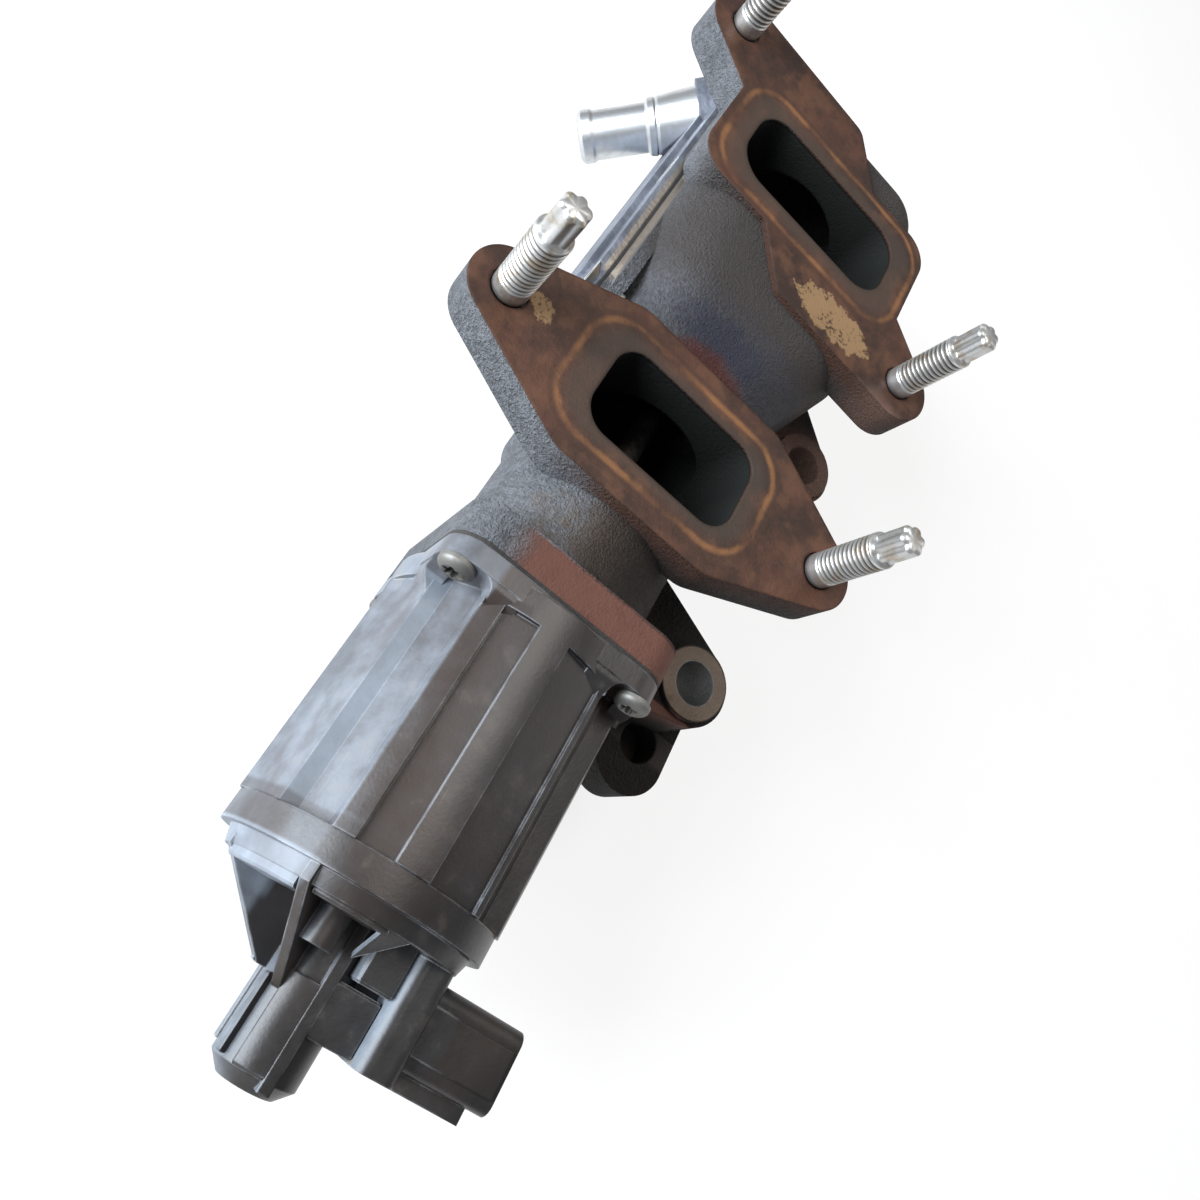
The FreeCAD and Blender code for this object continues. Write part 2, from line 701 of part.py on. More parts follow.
def jacket_cover():
    inner = dim.joint_plane + dim.gasket_thickness
    plate = side_plate("cover_plate", size(0), inner, dim.cover_thickness)
    dome = side_plate("cover_raised", dim.joint_rim + 1.5, inner, dim.cover_thickness + dim.cover_dome)
    hollow = side_plate("cover_hollow", dim.joint_rim + 3.5, inner - 1, dim.cover_dome + 1)
    boss = aimed_rod("cover_boss", 0, dim.inlet_collar + 1.5, dim.inlet_step)
    seat = aimed_rod("cover_seat", 0, dim.inlet_radius, dim.inlet_step + 20)
    pocket = aimed_rod("cover_pocket", dim.inlet_step, dim.inlet_collar, 20)
    trim = cover_trim("cover_trim")
    face = inner + dim.cover_thickness
    holes = rim_holes("cover", inner - 1, dim.cover_thickness + 2, dim.cover_bolt)
    for number, (x, z) in places(cover_bolt_places()):
        holes.append(screw_cone("cover_sink_%d" % number, x, face, z, 0))
    return cut("cover_cut", fused("cover_solid", [plate, dome, boss]), [hollow, seat, pocket, trim] + holes)


# The inlet nipple leans a little back, outwards and down
INLET_LEAN = (-0.47, 0.64, -0.6)


def aim(item, own_axis, start):
    # Puts an item on the inlet nipple's axis, measured from the cover's inner face
    lean = FreeCAD.Vector(*INLET_LEAN)
    lean.normalize()
    rotation = FreeCAD.Rotation(FreeCAD.Vector(*own_axis), lean)
    base = (
        size(start) * lean.x + dim.inlet_root_x,
        size(start) * lean.y + dim.joint_plane + dim.gasket_thickness,
        size(start) * lean.z - dim.inlet_root_depth,
    )
    item.Placement = FreeCAD.Placement(FreeCAD.Vector(*[float(value) for value in base]), rotation)
    for letter, value in zip("xyz", base):
        bind(item, "Placement.Base." + letter, value)
    return item


def aimed_rod(name, start, radius, length):
    item = document.addObject("Part::Cylinder", name)
    bind(item, "Radius", radius)
    bind(item, "Height", length)
    return aim(item, (0, 0, 1), start)


def inlet_nipple():
    # A tube with a lip at its mouth, and a ringed collar that widens towards the cover
    r, bore, length, collar_end = dim.inlet_radius, dim.inlet_bore, dim.inlet_length, dim.inlet_collar_length
    profile = [
        (-3, bore),
        (length, bore),
        (length, r - 0.6),
        (length - 0.5, r + 0.1),
        (length - 1.2, r + dim.nipple_lip),
        (length - 3.6, r + dim.nipple_lip),
        (length - 4.4, r),
        (collar_end + 1.2, r),
        (collar_end + 0.5, r + 0.9),
        (collar_end - 1.1, r + 1.1),
        (collar_end - 1.6, r + 0.8),
        (collar_end - 2.4, r + 1.1),
        (0, dim.inlet_collar),
        (0, r),
        (-3, r),
    ]
    body = aim(turned("inlet_body", profile), (1, 0, 0), dim.inlet_step)
    return cut("inlet_cut", body, [cover_trim("inlet_trim")])


def outlet_nipple():
    top = -dim.jacket_bottom + 6
    length = dim.outlet_length + 6
    outer = [(0, dim.outlet_radius - 1.2), (length, dim.outlet_radius - 1.2)]
    r = dim.outlet_radius
    lip = r + dim.nipple_lip
    outer += [(length, r - 0.4), (length - 0.9, lip), (length - 3.1, lip), (length - 3.9, r), (0, r)]
    body = turned("outlet_body", outer)
    return place(body, (dim.outlet_x, dim.outlet_y, top), (0, 1, 0), 90)


def screw_cone(name, x, face, z, grow):
    # The countersunk head, flush with the cover
    cone = document.addObject("Part::Cone", name)
    bind(cone, "Radius1", dim.cover_bolt + grow)
    bind(cone, "Radius2", dim.cover_bolt * 2 + grow)
    bind(cone, "Height", dim.cover_bolt)
    return place(cone, (x, face - dim.cover_bolt, z), *TURN_TO["y"])


def cover_screws():
    screws = []
    face = dim.joint_plane + dim.gasket_thickness + dim.cover_thickness
    for number, (x, z) in places(cover_bolt_places()):
        start = dim.joint_plane - 6
        shank = rod("cover_shank_%d" % number, (x, start, z), dim.cover_bolt, face - start, "y")
        head = screw_cone("cover_head_%d" % number, x, face, z, 0)
        solid = fused("cover_screw_solid_%d" % number, [shank, head])
        socket = document.addObject("Part::Prism", "cover_socket_%d" % number)
        socket.Polygon = 6
        socket.Circumradius = 1.6
        socket.Height = 2
        place(socket, (x, face - 1.6, z), *TURN_TO["y"])
        screws.append(cut("cover_screw_%d" % number, solid, [socket]))
    return fused("cover_screw_set", screws)


# Studs


def port_studs():
    studs = []
    for number, (x, y) in places(stud_places()):
        thickness = dim.flange_thickness
        root = rod("stud_root_%d" % number, (x, y, -thickness), dim.stud_root, thickness, "z")
        collar = rod("stud_collar_%d" % number, (x, y, 0), dim.stud_radius, dim.stud_collar, "z")
        drive_start, drive_length = dim.stud_reach - dim.stud_drive_length, dim.stud_drive_length
        thread_start, thread_length = (x, y, dim.stud_collar), drive_start - dim.stud_collar
        thread = rod("stud_thread_%d" % number, thread_start, dim.stud_radius - 0.25, thread_length, "z")
        drive = rod("stud_drive_%d" % number, (x, y, drive_start), dim.stud_drive_radius, drive_length, "z")
        grooves = []
        for turn in range(6):
            angle = math.radians(60 * turn)
            reach = dim.stud_drive_radius + 0.35
            spot = (x + reach * math.cos(angle), y + reach * math.sin(angle), drive_start + 1)
            grooves.append(rod("stud_groove_%d_%d" % (number, turn), spot, 0.9, drive_length, "z"))
        star = cut("stud_star_%d" % number, drive, grooves)
        studs.append(fused("stud_%d" % number, [root, collar, thread, star]))
    return fused("stud_set", studs)


# Valve: everything that slides


def valve_seat():
    start, end = dim.seat_x, dim.seat_x + dim.seat_length
    bore, outer = dim.seat_bore, dim.seat_outer
    profile = [(start, bore), (end - 2.5, bore), (end, bore + 2.5), (end, outer), (start, outer)]
    return turned("seat_body", profile)


def seat_line():
    # Where the disc's cone meets the throat radius, one running gap from the seat's cone
    return dim.seat_x + dim.seat_length - 2.5 + dim.running_gap * 1.5


def valve_disc():
    line, bore = seat_line(), dim.seat_bore
    reach = dim.disc_radius - bore
    tip = dim.stem_radius - 0.5
    profile = [
        (line - 1.5, tip),
        (line + reach + dim.disc_thickness, tip),
        (line + reach + dim.disc_thickness, dim.disc_radius - 1),
        (line + reach + dim.disc_thickness - 1, dim.disc_radius),
        (line + reach, dim.disc_radius),
        (line - 1.5, bore - 1.5),
    ]
    return turned("disc_body", profile)


def valve_stem():
    disc_start = seat_line() - 1.5
    disc_end = seat_line() + dim.disc_radius - dim.seat_bore + dim.disc_thickness
    tip = dim.stem_radius - 0.5
    profile = [
        (dim.stem_end, 0),
        (disc_end + 5, 0),
        (disc_end + 5, tip),
        (disc_start, tip),
        (disc_start, dim.stem_radius),
        (dim.stem_end, dim.stem_radius),
    ]
    return turned("stem_body", profile)


def disc_nut():
    start = seat_line() + dim.disc_radius - dim.seat_bore + dim.disc_thickness
    nut = document.addObject("Part::Prism", "nut_hex")
    nut.Polygon = 6
    nut.Circumradius = 5.2
    nut.Height = 4
    place(nut, on_axis(start), (0, 1, 0), 90)
    return cut("nut_cut", nut, [rod("nut_bore", on_axis(start - 1), dim.stem_radius - 0.5, 6)])


def stem_bush():
    start, end = dim.wall_start - 5, dim.wall_end + 3
    bore = dim.stem_radius + dim.fit_gap
    r, wall = dim.bush_radius, dim.wall_start
    profile = [(start, bore), (end, bore), (end, r), (wall, r), (wall, r + 1.5), (start, r + 1.5)]
    return turned("bush_body", profile)


def heat_shield():
    # A pressed cup on the gas side that keeps soot off the bush
    start = dim.wall_end
    profile = [
        (start, dim.bush_radius),
        (start + 1, dim.bush_radius),
        (start + 1, dim.bush_radius + 2.5),
        (start + 5, dim.bush_radius + 2.5),
        (start + 5, dim.bush_radius + 3.5),
        (start, dim.bush_radius + 3.5),
    ]
    return turned("shield_body", profile)


def stem_seal():
    start = dim.wall_start - 7
    bore = dim.stem_radius + dim.fit_gap
    profile = tube_profile(start, size(2), bore, dim.bush_radius + 1.5)
    return turned("seal_body", profile)


def retainer_x():
    return -dim.square_front - 5


def spring_retainer():
    start = retainer_x()
    r = dim.stem_radius
    profile = [
        (start, r),
        (start + 6, r),
        (start + 6, r + 3),
        (start + 1.5, r + 3),
        (start + 1.5, dim.retainer_radius),
        (start, dim.retainer_radius),
    ]
    return turned("retainer_body", profile)


def retainer_clip():
    thickness = size(1.2)
    profile = tube_profile(retainer_x() - thickness, thickness, dim.stem_radius, dim.stem_radius + 2)
    return turned("clip_body", profile)


def return_spring():
    start = retainer_x() + 1.5
    length = dim.wall_start - start
    wire, radius = dim.spring_wire, dim.spring_radius.value
    height = (length - 2 * wire).value
    helix = Part.makeHelix(height / dim.spring_turns.value, height, radius)
    section = Part.makeCircle(wire.value, FreeCAD.Vector(radius, 0, 0), FreeCAD.Vector(0, 1, 0))
    ring = Part.Wire(section)
    item = document.addObject("Part::Feature", "spring_body")
    item.Shape = Part.Wire(helix).makePipeShell([ring], True, True)
    middle = FreeCAD.Vector(start.value + wire.value, 0, -dim.axis_depth.value)
    item.Placement = FreeCAD.Placement(middle, FreeCAD.Rotation(FreeCAD.Vector(0, 1, 0), 90))
    return item


# Actuator


def square_gasket():
    circles = across_axis(dim.square_half, dim.square_half, dim.square_corner)
    start = -dim.square_front - dim.square_thickness
    plate = hull_plate("motor_gasket_plate", circles, start, dim.gasket_thickness, "YZ_Plane")
    holes = [rod("motor_gasket_bore", on_axis(start - 2), dim.gas_radius, 4)]
    for number, (y, z) in places(screw_places()):
        holes.append(rod("motor_gasket_hole_%d" % number, (start - 2, y, z), dim.screw_radius, 4))
    return cut("motor_gasket_cut", plate, holes)


def plate_front():
    return -dim.square_front - dim.square_thickness - dim.gasket_thickness


# Sunk panels of the housing: turn from the middle of a side in degrees, and width
PANELS = [(-16, 7.2), (17.5, 10.9)]


def screw_channel(number, start, length, angle):
    # A square-cut channel: the corner outside both walls, down to a floor across the corner
    name = "housing_channel_%d" % number
    span = (length, size(20), size(40))
    floor = box_round_axis(name + "_floor", start, dim.channel_floor, size(-20), span, angle)
    (y, z), reach = screw_places()[number - 1], 25
    low_y = dim.channel_wall if y.value > 0 else -dim.channel_wall - reach
    low_z = dim.channel_wall if z.value > -dim.axis_depth.value else -dim.channel_wall - reach
    corner = box(name + "_corner", (start, low_y, low_z - dim.axis_depth), (length, reach, reach))
    common = document.addObject("Part::MultiCommon", name)
    common.Shapes = [floor, corner]
    return common


def motor_housing():
    front = plate_front()
    back = front - dim.plate_thickness
    circles = across_axis(dim.square_half, dim.square_half, dim.square_corner)
    flange = hull_plate("housing_flange", circles, front, dim.plate_thickness, "YZ_Plane")
    barrel_length = front - dim.housing_end - 1
    barrel = rod("housing_barrel", on_axis(dim.housing_end), dim.housing_radius, barrel_length)
    solid = [flange, barrel]
    hollow = []
    rear = dim.housing_end - 1
    for number, (y, z) in places(screw_places()):
        angle = 90 * number - 45
        wall = rod("housing_horseshoe_%d" % number, (back - 4, y, z), dim.screw_head + 2.6, 4)
        keep = hull_plate("housing_square_%d" % number, circles, back, size(5), "YZ_Plane")
        trimmed = document.addObject("Part::MultiCommon", "housing_corner_%d" % number)
        trimmed.Shapes = [wall, keep]
        solid.append(trimmed)
        hollow.append(screw_channel(number, rear, back - rear, angle))
        hollow.append(rod("housing_seat_%d" % number, (back - 6, y, z), dim.screw_head + 1, 6))
        hole_length = dim.plate_thickness + 2
        hollow.append(rod("housing_hole_%d" % number, (back - 1, y, z), dim.screw_radius, hole_length))
    for side in (90, 180, 270):
        for turn, width in PANELS:
            span = (back - rear - 2, size(5), size(width))
            name = "housing_panel_%d_%d" % (side, turn)
            hollow.append(box_round_axis(name, rear, dim.panel_floor, size(-width / 2), span, side + turn))
    flat_turn, flat_width = 17.5, size(16.2)
    flat_floor = dim.housing_radius * math.cos(math.radians(flat_turn))
    for turn in (-flat_turn, flat_turn):
        span = (back - rear - 2, size(5), flat_width)
        hollow.append(box_round_axis("housing_flat_%d" % turn, rear, flat_floor, -flat_width / 2, span, turn))
    bearing_start = dim.rotor_end + 4
    guide_length = front - bearing_start + 1
    bearing_depth = dim.bearing_width + 1
    hollow.append(rod("housing_bore", on_axis(rear), dim.housing_bore, bearing_start - rear))
    hollow.append(rod("housing_bearing", on_axis(bearing_start - 1), dim.bearing_outer, bearing_depth))
    hollow.append(rod("housing_guide", on_axis(bearing_start), dim.bearing_bore + 0.5, guide_length))
    return cut("housing_cut", fused("housing_solid", solid), hollow)


def housing_screws():
    screws = []
    back = plate_front() - dim.plate_thickness
    for number, (y, z) in places(screw_places()):
        length = -dim.square_front - back
        shank = rod("screw_shank_%d" % number, (back, y, z), dim.screw_radius, length)
        head = rod("screw_head_%d" % number, (back - 3.2, y, z), dim.screw_head, 3.2)
        crown = document.addObject("Part::Sphere", "screw_crown_%d" % number)
        crown.Radius = 7
        place(crown, (back + 3.4, y, z))
        domed = document.addObject("Part::MultiCommon", "screw_domed_%d" % number)
        domed.Shapes = [head, crown]
        sockets = [rod("screw_socket_%d" % number, (back - 4, y, z), 1.7, 2.4)]
        for turn in range(6):
            angle = math.radians(60 * turn)
            spot = (back - 4, y + 1.75 * math.cos(angle), z + 1.75 * math.sin(angle))
            sockets.append(rod("screw_point_%d_%d" % (number, turn), spot, 0.5, 2.4))
        top = cut("screw_top_%d" % number, domed, sockets)
        screws.append(fused("screw_%d" % number, [shank, top]))
    return fused("screw_set", screws)


def stator(name, start, length):
    inner, outer = dim.rotor_radius + 0.5, dim.housing_bore
    end = start + length
    coil_outer = outer - 2
    profile = [
        (start, inner),
        (start + 1.5, inner),
        (start + 1.5, coil_outer),
        (end - 1.5, coil_outer),
        (end - 1.5, inner),
        (end, inner),
        (end, outer),
        (start, outer),
    ]
    shell = turned(name + "_stator_body", profile)
    coil = turned(name + "_coil_body", tube_profile(start + 1.5, length - 3, inner + 0.5, coil_outer))
    return shell, coil


def rotor_magnet():
    length = dim.rotor_end - dim.rotor_start
    return turned("magnet_body", tube_profile(dim.rotor_start, length, dim.rotor_bore, dim.rotor_radius))


def rotor_hub():
    start, end = dim.rotor_start - 10, dim.rotor_end + 4 + dim.bearing_width
    journal = dim.bearing_bore
    bore = dim.screw_shaft + dim.running_gap
    profile = [
        (start, bore),
        (end, bore),
        (end, journal),
        (dim.rotor_end + 4, journal),
        (dim.rotor_end + 4, journal + 1),
        (dim.rotor_end, journal + 1),
        (dim.rotor_end, dim.rotor_bore),
        (dim.rotor_start, dim.rotor_bore),
        (dim.rotor_start, journal - dim.fit_gap),
        (start, journal - dim.fit_gap),
    ]
    return turned("hub_body", profile)


def bearing_parts():
    start = dim.rotor_end + 4
    middle = start + dim.bearing_width / 2
    pitch = (dim.bearing_outer + dim.bearing_bore) / 2
    ball = 1.5
    width = dim.bearing_width
    groove = document.addObject("Part::Torus", "bearing_groove")
    bind(groove, "Radius1", pitch)
    groove.Radius2 = ball + 0.05
    place(groove, on_axis(middle), (0, 1, 0), 90)
    second = document.addObject("Part::Torus", "bearing_far_groove")
    bind(second, "Radius1", pitch)
    second.Radius2 = ball + 0.05
    place(second, on_axis(middle), (0, 1, 0), 90)
    outer = turned("bearing_outer_body", tube_profile(start, width, pitch + 0.9, dim.bearing_outer))
    inner = turned("bearing_inner_body", tube_profile(start, width, dim.bearing_bore, pitch - 0.9))
    balls = []
    for turn in range(8):
        angle = math.radians(45 * turn)
        item = document.addObject("Part::Sphere", "bearing_ball_%d" % turn)
        item.Radius = ball
        spot = (middle, pitch * math.cos(angle), pitch * math.sin(angle) - dim.axis_depth)
        balls.append(place(item, spot))
    race, sleeve = cut("bearing_race", outer, [groove]), cut("bearing_sleeve", inner, [second])
    return race, sleeve, fused("ball_set", balls)


def guide_bush():
    start = dim.rotor_end + 4 + dim.bearing_width + dim.lift - 4
    bore = dim.stem_radius + dim.running_gap
    return turned("guide_body", tube_profile(start, plate_front() - start, bore, dim.bearing_bore + 0.5))


def lead_screw():
    start, r = dim.rotor_start - 8, dim.screw_shaft
    return turned("screw_body", [(start, 0), (dim.stem_end, 0), (dim.stem_end, r), (start, r)])


# End cap with the position sensor and the plug socket


def cap_rib(number, angle, reach, low_x):
    body = new_body("cap_rib_%d" % number)
    sketch = new_sketch(body, "cap_rib_profile_%d" % number, "XY_Plane")
    root = dim.housing_end - dim.rim_length
    inner = dim.boss_radius - 2
    outline = [(root + 1, inner), (root + 1, reach), (root - 3, reach), (low_x, inner + 2.5), (low_x, inner)]
    draw_polygon(sketch, outline)
    item = pad(body, sketch, size(1.8))
    item.Midplane = True
    return place(body, on_axis(0), (1, 0, 0), angle)


def rear_bush():
    bore = dim.bearing_bore
    return turned("rear_bush_body", tube_profile(dim.housing_end, size(5), bore, bore + 2.5))


def socket_low_z():
    return -dim.socket_top - dim.socket_height


def end_cap():
    seam, rim = dim.housing_end, dim.housing_end - dim.rim_length
    boss = dim.boss_radius
    spigot = dim.housing_bore - dim.fit_gap
    inner = dim.bearing_bore + 2.5
    profile = [
        (rim - 3, 0),
        (rim - 3, dim.rim_radius - 3),
        (rim, dim.rim_radius - 2),
        (rim, dim.rim_radius),
        (seam, dim.rim_radius),
        (seam, spigot),
        (seam + 1.5, spigot),
        (seam + 1.5, spigot - 1.8),
        (seam + 3.5, spigot - 1.8),
        (seam + 3.5, spigot),
        (seam + 5, spigot),
        (seam + 5, inner),
        (seam, inner),
        (seam, 0),
    ]
    core = turned("cap_core", profile)
    boss_profile = [
        (dim.boss_end, 0),
        (dim.boss_end, boss - 2.5),
        (dim.boss_end + 2.5, boss),
        (rim - 2, boss),
        (rim - 2, 0),
    ]
    boss_centre = (0, -dim.boss_shift, dim.boss_rise - dim.axis_depth)
    boss_body = turned("cap_boss", boss_profile, boss_centre)
    bore_start = dim.boss_end + dim.cap_wall
    boss_bore = rod("cap_bore", on_axis(bore_start), dim.boss_bore, seam + 1 - bore_start)
    tower_depth = 27
    low, high = -dim.tower_top - tower_depth, -dim.tower_top
    tower_outline = rounded_box_circles(-dim.tower_outer, -dim.tower_inner, low, high, 2.6)
    tower = hull_plate("cap_tower", tower_outline, rim - 1, rim - 1 - dim.tower_end, "YZ_Plane")
    web = box(
        "cap_web",
        (dim.tower_end + 3, -dim.tower_inner - 1, -dim.axis_depth - 5),
        (rim - 1 - dim.tower_end - 3, dim.tower_inner - 5.5, 11),
    )
    shell_outline = rounded_box_circles(
        dim.socket_start - dim.socket_length, dim.socket_start, socket_low_z(), -dim.socket_top, 2.5
    )
    shell_depth = dim.socket_reach - dim.tower_outer + 1
    shell = sideways_plate("cap_socket", shell_outline, -dim.socket_reach, shell_depth)
    pad_top = box(
        "cap_socket_pad",
        (dim.socket_start - dim.socket_length + 3, -dim.socket_reach + 1, -dim.socket_top - 1),
        (8.5, dim.socket_reach - dim.tower_outer, 1.8),
    )
    rail = box(
        "cap_rail",
        (dim.socket_start - dim.socket_length - 3, -dim.socket_reach + 3, -dim.socket_top - 6),
        (4, dim.socket_reach - dim.tower_outer - 2, 3),
    )
    peg = rod("cap_peg", (rim - 10, 4, -dim.axis_depth + 12), 3.2, 10)
    boss_top = dim.boss_rise + boss - dim.axis_depth
    web_start = (dim.boss_end + 1, -dim.boss_shift - 2, boss_top - 4)
    side_web = box("cap_side_web", web_start, (rim - dim.boss_end - 2, 2.2, 4.9))
    fin = box("cap_fin", (dim.boss_end + 4, 4.8, -dim.axis_depth - 1), (12, 1.9, 2))
    solid = [core, boss_body, tower, web, shell, pad_top, rail, peg, side_web, fin]
    ribs = [(58, 25, -122.5), (10, 24, -121), (-35, 24, -121), (-80, 24, -119), (235, 24, -119)]
    for number, (angle, reach, low) in places(ribs):
        solid.append(cap_rib(number, angle, reach, low))
    wall = dim.socket_wall
    cavity_outline = rounded_box_circles(
        dim.socket_start - dim.socket_length + wall,
        dim.socket_start - wall,
        socket_low_z() + wall,
        -dim.socket_top - wall,
        1.2,
    )
    cavity = sideways_plate("cap_cavity", cavity_outline, -dim.socket_reach - 1, size(12.5))
    board = sensor_board("cap_board_pocket")
    return cut("cap_cut", chained("cap_solid", solid), [boss_bore, cavity, board] + terminals("cap_slot"))


def sensor_board(name):
    return box(name, (dim.tower_end + 3, -dim.tower_inner - 2.2, -dim.axis_depth - 8), (16, 1.2, 14))


def terminals(name):
    pins = []
    start_x = dim.socket_start - dim.socket_length / 2
    for number in range(5):
        x = start_x + (number - 2) * 2.2 - 0.4
        y = -dim.socket_reach + 4
        length = dim.socket_reach - 4 - dim.tower_inner - 2.2
        pins.append(box("%s_%d" % (name, number + 1), (x, y, -dim.axis_depth - 0.4), (0.8, length, 0.8)))
    return pins


def cap_seal():
    seal = document.addObject("Part::Torus", "seal_ring")
    bind(seal, "Radius1", dim.housing_bore - 0.95)
    seal.Radius2 = 0.85
    return place(seal, on_axis(dim.housing_end + 2.5), (0, 1, 0), 90)


def sensor_plunger():
    start, end = dim.boss_end + 12, dim.rotor_start - 8
    r = dim.plunger_radius - 1
    return turned("plunger_body", [(start, 0), (end, 0), (end, r), (start, r)])


def sensor_magnet():
    start = dim.boss_end + 5
    r = dim.plunger_radius + 0.8
    return turned("sensor_magnet_body", [(start, 0), (start + 7, 0), (start + 7, r), (start, r)])


def bore_plug():
    start = dim.jacket_end - dim.plug_thickness
    r = dim.plug_radius
    web, lip, end = start + 1.5, r - 1.5, dim.jacket_end
    return turned("plug_body", [(start, 0), (web, 0), (web, lip), (end, lip), (end, r), (start, r)])


piece(casting(), "body_casting")
piece(bore_plug(), "bore_plug")
piece(jacket_gasket(), "jacket_gasket")
piece(jacket_cover(), "jacket_cover")
piece(cover_screws(), "cover_screws")
piece(inlet_nipple(), "coolant_inlet")
piece(outlet_nipple(), "coolant_outlet")
piece(port_studs(), "port_studs")
piece(valve_seat(), "valve_seat")
piece(valve_disc(), "valve_disc")
piece(valve_stem(), "valve_stem")
piece(disc_nut(), "disc_nut")
piece(stem_bush(), "stem_bush")
piece(stem_seal(), "stem_seal")
piece(heat_shield(), "soot_shield")
piece(spring_retainer(), "spring_retainer")
piece(retainer_clip(), "retainer_clip")
piece(return_spring(), "return_spring")
piece(square_gasket(), "actuator_gasket")
piece(motor_housing(), "motor_housing")
piece(housing_screws(), "housing_screws")
half_length = (dim.rotor_end - dim.rotor_start) / 2
for name, start in (("rear", dim.rotor_start), ("front", dim.rotor_start + half_length)):
    shell, coil = stator(name, start, half_length)
    piece(shell, name + "_stator")
    piece(coil, name + "_coil")
piece(rotor_magnet(), "rotor_magnet")
piece(rotor_hub(), "rotor_hub")
race, sleeve, balls = bearing_parts()
piece(race, "bearing_race")
piece(sleeve, "bearing_sleeve")
piece(balls, "bearing_balls")
piece(rear_bush(), "rear_bush")
piece(guide_bush(), "guide_bush")
piece(lead_screw(), "lead_screw")
piece(end_cap(), "end_cap")
piece(cap_seal(), "cap_seal")
piece(sensor_board("board_body"), "sensor_board")
piece(fused("terminal_set", terminals("terminal")), "connector_terminals")
piece(sensor_plunger(), "sensor_plunger")
piece(sensor_magnet(), "sensor_magnet")

document.recompute()
for item in document.Objects:
    if "Invalid" in item.State or "Error" in item.State:
        raise RuntimeError("%s failed: %s" % (item.Name, item.State))
os.makedirs("parts", exist_ok=True)
for item in pieces:
    shape = item.Shape
    if shape.isNull() or not shape.isValid():
        raise RuntimeError("%s has no valid shape" % item.Label)
for item in pieces:
    item.Shape.exportStep("parts/%s.step" % item.Label)
    count, volume = len(item.Shape.Solids), item.Shape.Volume
    print("%-20s %d solids, %.0f cubic millimetres" % (item.Label, count, volume))
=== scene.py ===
import bpy
import json
import numpy as np
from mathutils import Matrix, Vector


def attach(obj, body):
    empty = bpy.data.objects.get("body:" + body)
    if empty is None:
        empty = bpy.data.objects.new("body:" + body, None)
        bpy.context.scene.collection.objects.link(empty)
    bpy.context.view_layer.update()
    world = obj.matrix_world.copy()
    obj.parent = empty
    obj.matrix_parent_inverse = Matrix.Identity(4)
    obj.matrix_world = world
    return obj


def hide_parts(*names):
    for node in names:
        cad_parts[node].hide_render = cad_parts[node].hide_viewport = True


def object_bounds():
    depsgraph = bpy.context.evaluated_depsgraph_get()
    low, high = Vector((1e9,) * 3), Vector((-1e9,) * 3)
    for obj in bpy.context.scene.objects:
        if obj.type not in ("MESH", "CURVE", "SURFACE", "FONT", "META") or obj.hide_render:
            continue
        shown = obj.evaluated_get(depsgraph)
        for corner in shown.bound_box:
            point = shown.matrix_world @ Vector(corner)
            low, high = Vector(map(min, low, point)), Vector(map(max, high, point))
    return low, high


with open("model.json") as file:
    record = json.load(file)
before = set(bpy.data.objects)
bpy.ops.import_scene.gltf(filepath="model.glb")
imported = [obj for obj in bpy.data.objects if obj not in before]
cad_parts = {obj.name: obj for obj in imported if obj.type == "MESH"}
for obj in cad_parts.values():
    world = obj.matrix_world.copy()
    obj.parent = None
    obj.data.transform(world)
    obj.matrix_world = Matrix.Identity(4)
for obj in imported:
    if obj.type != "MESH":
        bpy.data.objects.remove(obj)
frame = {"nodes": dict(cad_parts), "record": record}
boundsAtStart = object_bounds()
nodes = frame["nodes"]
print("frame loaded:", len(nodes), "nodes")


# Shader maths: a wire is one output of a node, and plain operators on wires add Math nodes
class Wire:
    def __init__(self, paint, socket):
        self.paint = paint
        self.socket = socket

    def __add__(self, other):
        return self.paint.sums("ADD", self, other)

    def __radd__(self, other):
        return self.paint.sums("ADD", other, self)

    def __sub__(self, other):
        return self.paint.sums("SUBTRACT", self, other)

    def __rsub__(self, other):
        return self.paint.sums("SUBTRACT", other, self)

    def __mul__(self, other):
        return self.paint.sums("MULTIPLY", self, other)

    def __rmul__(self, other):
        return self.paint.sums("MULTIPLY", other, self)


